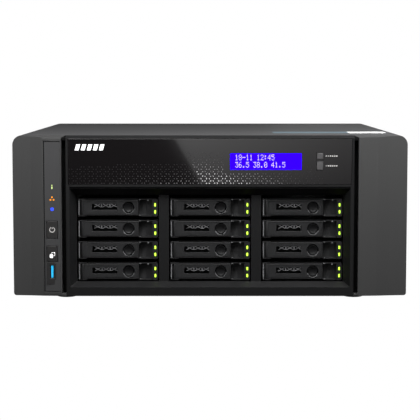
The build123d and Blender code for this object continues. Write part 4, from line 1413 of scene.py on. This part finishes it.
    def worn_edges(self) -> Piece:
        """Painted highlights: pale strips where the face's edges would catch the light, on its left stile and
        at the scoop's corners.

        Returns:
            The pale edges as one piece.
        """
        h, left = self.half_h, self.scoop_x[0]
        spots = (
            ((-self.half_w + 0.9, -self.half_w + 1.6), (-h + 1.2, h - 1.2)),
            ((left + 0.2, left + 2.0), (h - 1.0, h - 0.45)),
            ((left + 8.0, left + 9.2), (h - 1.7, h - 0.45)),
            ((left + 0.8, left + 1.9), (-h + 0.9, -h + 1.4)),
        )
        bars = [plate("edge", x, (-0.04, 0.06), z, 0.2, 2) for x, z in spots]
        return paint(join("worn_edges", bars), PAINTED_HIGHLIGHT_GREY)

    def light_pipes(self) -> list[Piece]:
        """Two lit lenses, each in a darker skirt.

        Returns:
            Skirt and lens of each light pipe.
        """
        parts = []
        for z in self.led_z:
            skirt = plate("skirt", around(self.led_x, 1.15), (0.45, 7.5), around(z, 2.1), 1.0)
            lens = plate("lens", around(self.led_x, 0.8), (0.05, 0.6), around(z, 1.6), 0.75)
            soften(lens, 0.3)
            parts += [paint(skirt, LED_SKIRT), paint(lens, LED_CORE)]
        return parts

    def floor_and_rails(self) -> Piece:
        """Tray floor with its opening, and two side rails.

        Returns:
            Floor and rails as one piece.
        """
        w, h = self.half_w, self.half_h
        y = (13.8, 120.0)
        floor = block("tray_floor", (-w, w), y, (-h, -h + 1.0))
        rails = [block("add", x, y, (-h, 5.0)) for x in ((-w, -w + 2.2), (w - 2.2, w))]
        combine(floor, rails, "UNION")
        cuts = [block("cut", (-24, 24), (26, 108), (-h - 1, -h + 2))]
        for side in (-1, 1):
            for place in (40.0, 75.0):
                cuts.append(block("cut", around(side * (w - 1), 2.0), (place, place + 22), (-2.0, 2.0)))
        combine(floor, cuts, "DIFFERENCE")
        return paint(soften(floor, 0.25), TRAY_NYLON)

    def drive_parts(self) -> list[Piece]:
        """Drive: cast body, pressed lid, blank label, lid screws and connector mouth.

        Returns:
            The drive's pieces.
        """
        wide, length, tall = self.drive
        y0, z0 = self.drive_y, self.floor_t - self.half_h
        y1, z1 = y0 + length, z0 + tall
        body = block("drive", around(0.0, wide / 2), (y0, y1), (z0, z1 - 0.8))
        combine(body, [block("cut", (-22, 22), (y1 - 4, y1 + 1), (-2.5, 2.5))], "DIFFERENCE")
        soften(body, 0.6)
        lid = prism("lid", rounded(around(0.0, wide / 2 - 1.2), (y0 + 1.2, y1 - 8), 5.0), z1 - 0.85, z1)
        soften(lid, 0.25)
        label = prism("label", rounded((-26, 26), (y0 + 44, y1 - 12), 1.5, 4), z1 - 0.05, z1 + 0.05)
        points = [(Vector((x, y, z1 + 0.02)), 1.0) for x in (-29, 29) for y in (y0 + 8, y0 + 48, y1 - 14)]
        head = lathe("head", ((0, -0.25), (1.5, -0.25), (1.9, 0.1), (1.9, 0.4), (0, 0.4)), (0, 0), 14)
        head.data.transform(Matrix.Rotation(math.radians(-90), 4, "X"))
        screws = Scatter("lid_screws").spread(points, head, BLACK_OXIDE)
        # Body and lid are near black: painted shade behind the lever's window.
        return [paint(body, DRIVE_SHADE_BLACK), paint(lid, DRIVE_SHADE_BLACK), paint(label, DRIVE_PAPER), screws]


# ---- inside and rear -------------------------------------------------------------------------------------


@dataclass
class Inside:
    """Cage, boards, cooler, supply, fans and ports.

    Attributes:
        blades: Number of fan blades.
        blade_sweep: How far a blade's tip trails its root, in degrees.
        blade_pitch: Blade angle at the root and at the tip, in degrees.
        blade_r: Radius of the hub and of the blades' tips.
        board_top: Height of the main board's upper face.
    """

    blades: int = 7
    blade_sweep: float = 24.0
    blade_pitch: Span = (48.0, 28.0)
    blade_r: Span = (19.0, 41.2)
    board_top: float = 13.6

    def build(self) -> None:
        """Make and hand over every inner piece."""
        for node, name, finish, slot in (
            # The cage's near-black finish is painted shade in the bays.
            ("drive_cage", "bay_cage", CAGE_SHADE_BLACK, "cage_steel"),
            ("backplane", "bay_backplane", BOARD_MASK, "board_green"),
            ("cpu_cooler", "finned_cooler", FIN_ALUMINIUM, "heatsink"),
            ("power_supply", "supply_box", ZINC_SHEET, "supply_steel"),
            ("fan_frames", "fan_housings", FAN_PBT, "fan_black"),
            ("io_ports", "port_shells", PORT_NICKEL, "port_metal"),
        ):
            ship(from_cad(node, name, finish, 0.2), "root", [node])
        self.board()
        for side in ("left", "right"):
            self.rotor(side)

    def board(self) -> None:
        """Main board with seeded rows of small chips on it."""
        low = corner("motherboard")[0]
        base = from_cad("motherboard", "main_board", BOARD_MASK, 0.15)
        ship(base, "root", ["motherboard"])
        top = self.board_top
        chip = block("chip", (-2.2, 2.2), (-1.6, 1.6), (0, 1.4))
        points = []
        for i in range(9):
            for j in range(8):
                x, y = low.x + 12 + i * 20.0, low.y + 14 + j * 22.0
                size = 0.6 + 0.5 * ((i * 7 + j * 3) % 5) / 4
                points.append((Vector((x, y, top)), size))
        ship(Scatter("board_chips").spread(points, chip, CHIP_EPOXY), "root")

    def rotor(self, side: str) -> None:
        """Fan rotor with swept, twisted blades round a rounded hub cap.

        Args:
            side: left or right.
        """
        node = f"fan_rotor_{side}"
        low, high = corner(node)
        joint = next(j for j in frame["joints"] if j["child"] == f"fan_{side}")
        cx, cz = joint["pos_m"][0] / MM, joint["pos_m"][2] / MM
        y0, y1 = low.y, high.y - 4.0
        hub_r, tip_r = self.blade_r
        cap = ((0, y0), (hub_r - 2.5, y0), (hub_r - 0.7, y0 + 0.7), (hub_r, y0 + 2.5), (hub_r, y1), (0, y1))
        hub = lathe("hub", cap, (cx, cz), 56)
        bm = bmesh.new()
        spans, chord, thick = 8, 9.5, 0.7
        middle = (y0 + y1) / 2
        for blade in range(self.blades):
            rings = []
            for step in range(spans + 1):
                share = step / spans
                radius = hub_r - 1 + (tip_r - hub_r + 1) * share
                root, tip = self.blade_pitch
                pitch = math.radians(root + (tip - root) * share)
                turn = math.tau * blade / self.blades + math.radians(self.blade_sweep) * share * share
                ring = []
                for across, lift in ((-1, 0), (0, thick), (1, 0), (0, -thick)):
                    reach = chord * (0.85 + 0.3 * share) * across
                    along = reach * math.cos(pitch) - lift * math.sin(pitch)
                    deep = reach * math.sin(pitch) * 0.95 + lift * math.cos(pitch)
                    angle = turn + along / radius
                    ring.append(bm.verts.new(Vector((cx + radius * math.cos(angle), middle + deep,
                                                     cz + radius * math.sin(angle))) * MM))
                rings.append(ring)
            for here, after in zip(rings, rings[1:]):
                for i in range(4):
                    j = (i + 1) % 4
                    bm.faces.new((here[i], here[j], after[j], after[i]))
            bm.faces.new(rings[0])
            bm.faces.new(rings[-1])
        blades = from_bmesh("blades", bm)
        shaft = lathe("shaft", ((0, y1 - 0.2), (1.5, y1 - 0.2), (1.5, high.y), (0, high.y)), (cx, cz), 20)
        piece = join(f"{side}_rotor", [hub, blades, shaft])
        piece.data.shade_smooth()
        piece.data.set_sharp_from_angle(angle=math.radians(40))
        ship(paint(piece, FAN_PBT), f"fan_{side}", [node])


# ---- floor, light and camera -------------------------------------------------------------------------------


@dataclass
class Studio:
    """Pale floor, soft light and the camera.

    Attributes:
        distance: Camera distance in front of the front face.
        height: Camera height above the floor.
        tilt: Downward tilt, in radians.
        lens: Focal length on a 36 mm sensor, in millimetres.
        ambient: Strength of the surrounding light.
        card_level: Brightness of the card that the gloss panel reflects.
        card_near: Distance of that card in front of the front face.
    """

    distance: float = 1344.6
    height: float = 208.1
    tilt: float = 0.0907
    lens: float = 124.43
    ambient: float = 0.17
    card_level: float = 0.95
    card_near: float = 1450.0

    def build(self) -> None:
        """Set up the floor, the world, the lights and the camera."""
        self.floor()
        self.world()
        front = CAD_BOX[0][1] / MM
        self.lamp("overhead_box", (100, front - 230, 470), (0, front + 30, 90), (1000, 220), 6.8)
        self.lamp("top_box", (150, 300, 1100), (60, 40, 100), (900, 900), 0.6)
        for side in (-1, 1):
            self.lamp("side_box", (side * 690, front - 1400, 330), (side * 170, front, 110), (420, 520), 0.7)
        for side in (-1, 1):
            self.lamp("rear_side_box", (side * 1000, 1150, 240), (side * 60, 180, 80), (400, 400), 3.5)
        self.lamp("rear_card", (420, 1150, 130), (60, 60, 150), (620, 240), 1.1)
        self.card(front)
        self.camera(front)
        bpy.context.scene.view_settings.view_transform = "Standard"

    def floor(self) -> None:
        """Lay the pale floor, which sends no light back up."""
        bm = bmesh.new()
        bmesh.ops.create_grid(bm, x_segments=8, y_segments=8, size=12.0)
        ground = from_bmesh("studio_floor", bm)
        material, tree = bare_material("pale_floor")
        pale = add_node(tree, "ShaderNodeEmission", {"Color": (1, 1, 1, 1), "Strength": 1.0})
        add_node(tree, "ShaderNodeOutputMaterial", {"Surface": pale.outputs[0]})
        ground.visible_diffuse = False
        ground.visible_glossy = False
        ground.data.materials.append(material)

    def world(self) -> None:
        """White surroundings to the eye, and a soft grey gradient as light."""
        world = bpy.data.worlds.new("studio_world")
        bpy.context.scene.world = world
        world.use_nodes = True
        tree = world.node_tree
        tree.nodes.clear()
        seen = add_node(tree, "ShaderNodeLightPath").outputs["Is Camera Ray"]
        way = add_node(tree, "ShaderNodeTexCoord").outputs["Generated"]
        split = add_node(tree, "ShaderNodeSeparateXYZ", {0: way})
        level = ranged(tree, split.outputs[2], (-0.1, 0.9), (0.1, 1.0))
        white = add_node(tree, "ShaderNodeBackground", {"Color": (1, 1, 1, 1), "Strength": 1.0})
        grey = add_node(tree, "ShaderNodeBackground", {"Color": level, "Strength": self.ambient})
        both = add_node(tree, "ShaderNodeMixShader", {0: seen, 1: grey.outputs[0], 2: white.outputs[0]})
        add_node(tree, "ShaderNodeOutputWorld", {"Surface": both.outputs[0]})

    def card(self, front: float) -> None:
        """Stand a softly graded card behind the camera, whose slanted edge shows in the gloss panel.

        Args:
            front: The front face's y, in millimetres.
        """
        slanted = ((-68.2, 93.0), (-16.8, 2.4), (0.0, -27.0))
        outline = (*slanted, (700.0, -27.0), (700.0, 620.0), (-367.0, 620.0))
        y = front - self.card_near
        card = prism("reflected_card", outline, y, y + 1.0, "Y")
        material, tree = bare_material("graded_card")
        place = add_node(tree, "ShaderNodeTexCoord").outputs["Object"]
        split = add_node(tree, "ShaderNodeSeparateXYZ", {0: place})
        across = ranged(tree, split.outputs[0], (-0.07, 0.27), (1.0, 0.42))
        rise = ranged(tree, split.outputs[2], (0.0, 0.09), (0.5, 1.0))
        level = times(tree, times(tree, across, rise), self.card_level)
        glow = add_node(tree, "ShaderNodeEmission", {"Strength": level})
        add_node(tree, "ShaderNodeOutputMaterial", {"Surface": glow.outputs[0]})
        card.data.materials.append(material)
        card.visible_camera = False
        card.visible_diffuse = False
        card.visible_shadow = False

    def lamp(
        self, name: str, place: Sequence[float], aim: Sequence[float], size: Point, power: float
    ) -> None:
        """Hang a soft rectangular lamp.

        Args:
            name: The lamp's name.
            place: Its middle, in millimetres.
            aim: The point that it faces, in millimetres.
            size: Width and height, in millimetres.
            power: Its power in watts.
        """
        data = bpy.data.lights.new(name, "AREA")
        data.shape = "RECTANGLE"
        data.size, data.size_y = size[0] * MM, size[1] * MM
        data.energy = power
        lamp = bpy.data.objects.new(name, data)
        bpy.context.scene.collection.objects.link(lamp)
        lamp.location = Vector(place) * MM
        way = (Vector(aim) - Vector(place)).normalized()
        lamp.rotation_euler = way.to_track_quat("-Z", "Y").to_euler()
        lamp.visible_camera = False

    def camera(self, front: float) -> None:
        """Place the camera on the middle line.

        Args:
            front: The front face's y, in millimetres.
        """
        data = bpy.data.cameras.new("camera")
        data.lens = self.lens
        data.sensor_width = 36.0
        data.clip_end = 50.0
        eye = bpy.data.objects.new("camera", data)
        bpy.context.scene.collection.objects.link(eye)
        eye.location = Vector((0, front - self.distance, self.height)) * MM
        eye.rotation_euler = (math.pi / 2 - self.tilt, 0, 0)
        bpy.context.scene.camera = eye


def main() -> None:
    """Build every sub-assembly in order and report each piece."""
    logging.basicConfig(level=logging.INFO, format="%(name)s: %(message)s")
    Studio().build()
    for assembly in (Casing(), Front(), ControlStrip(), DriveBay(), Inside()):
        LOG.info("building %s", type(assembly).__name__)
        assembly.build()


if __name__ == "__main__":
    main()
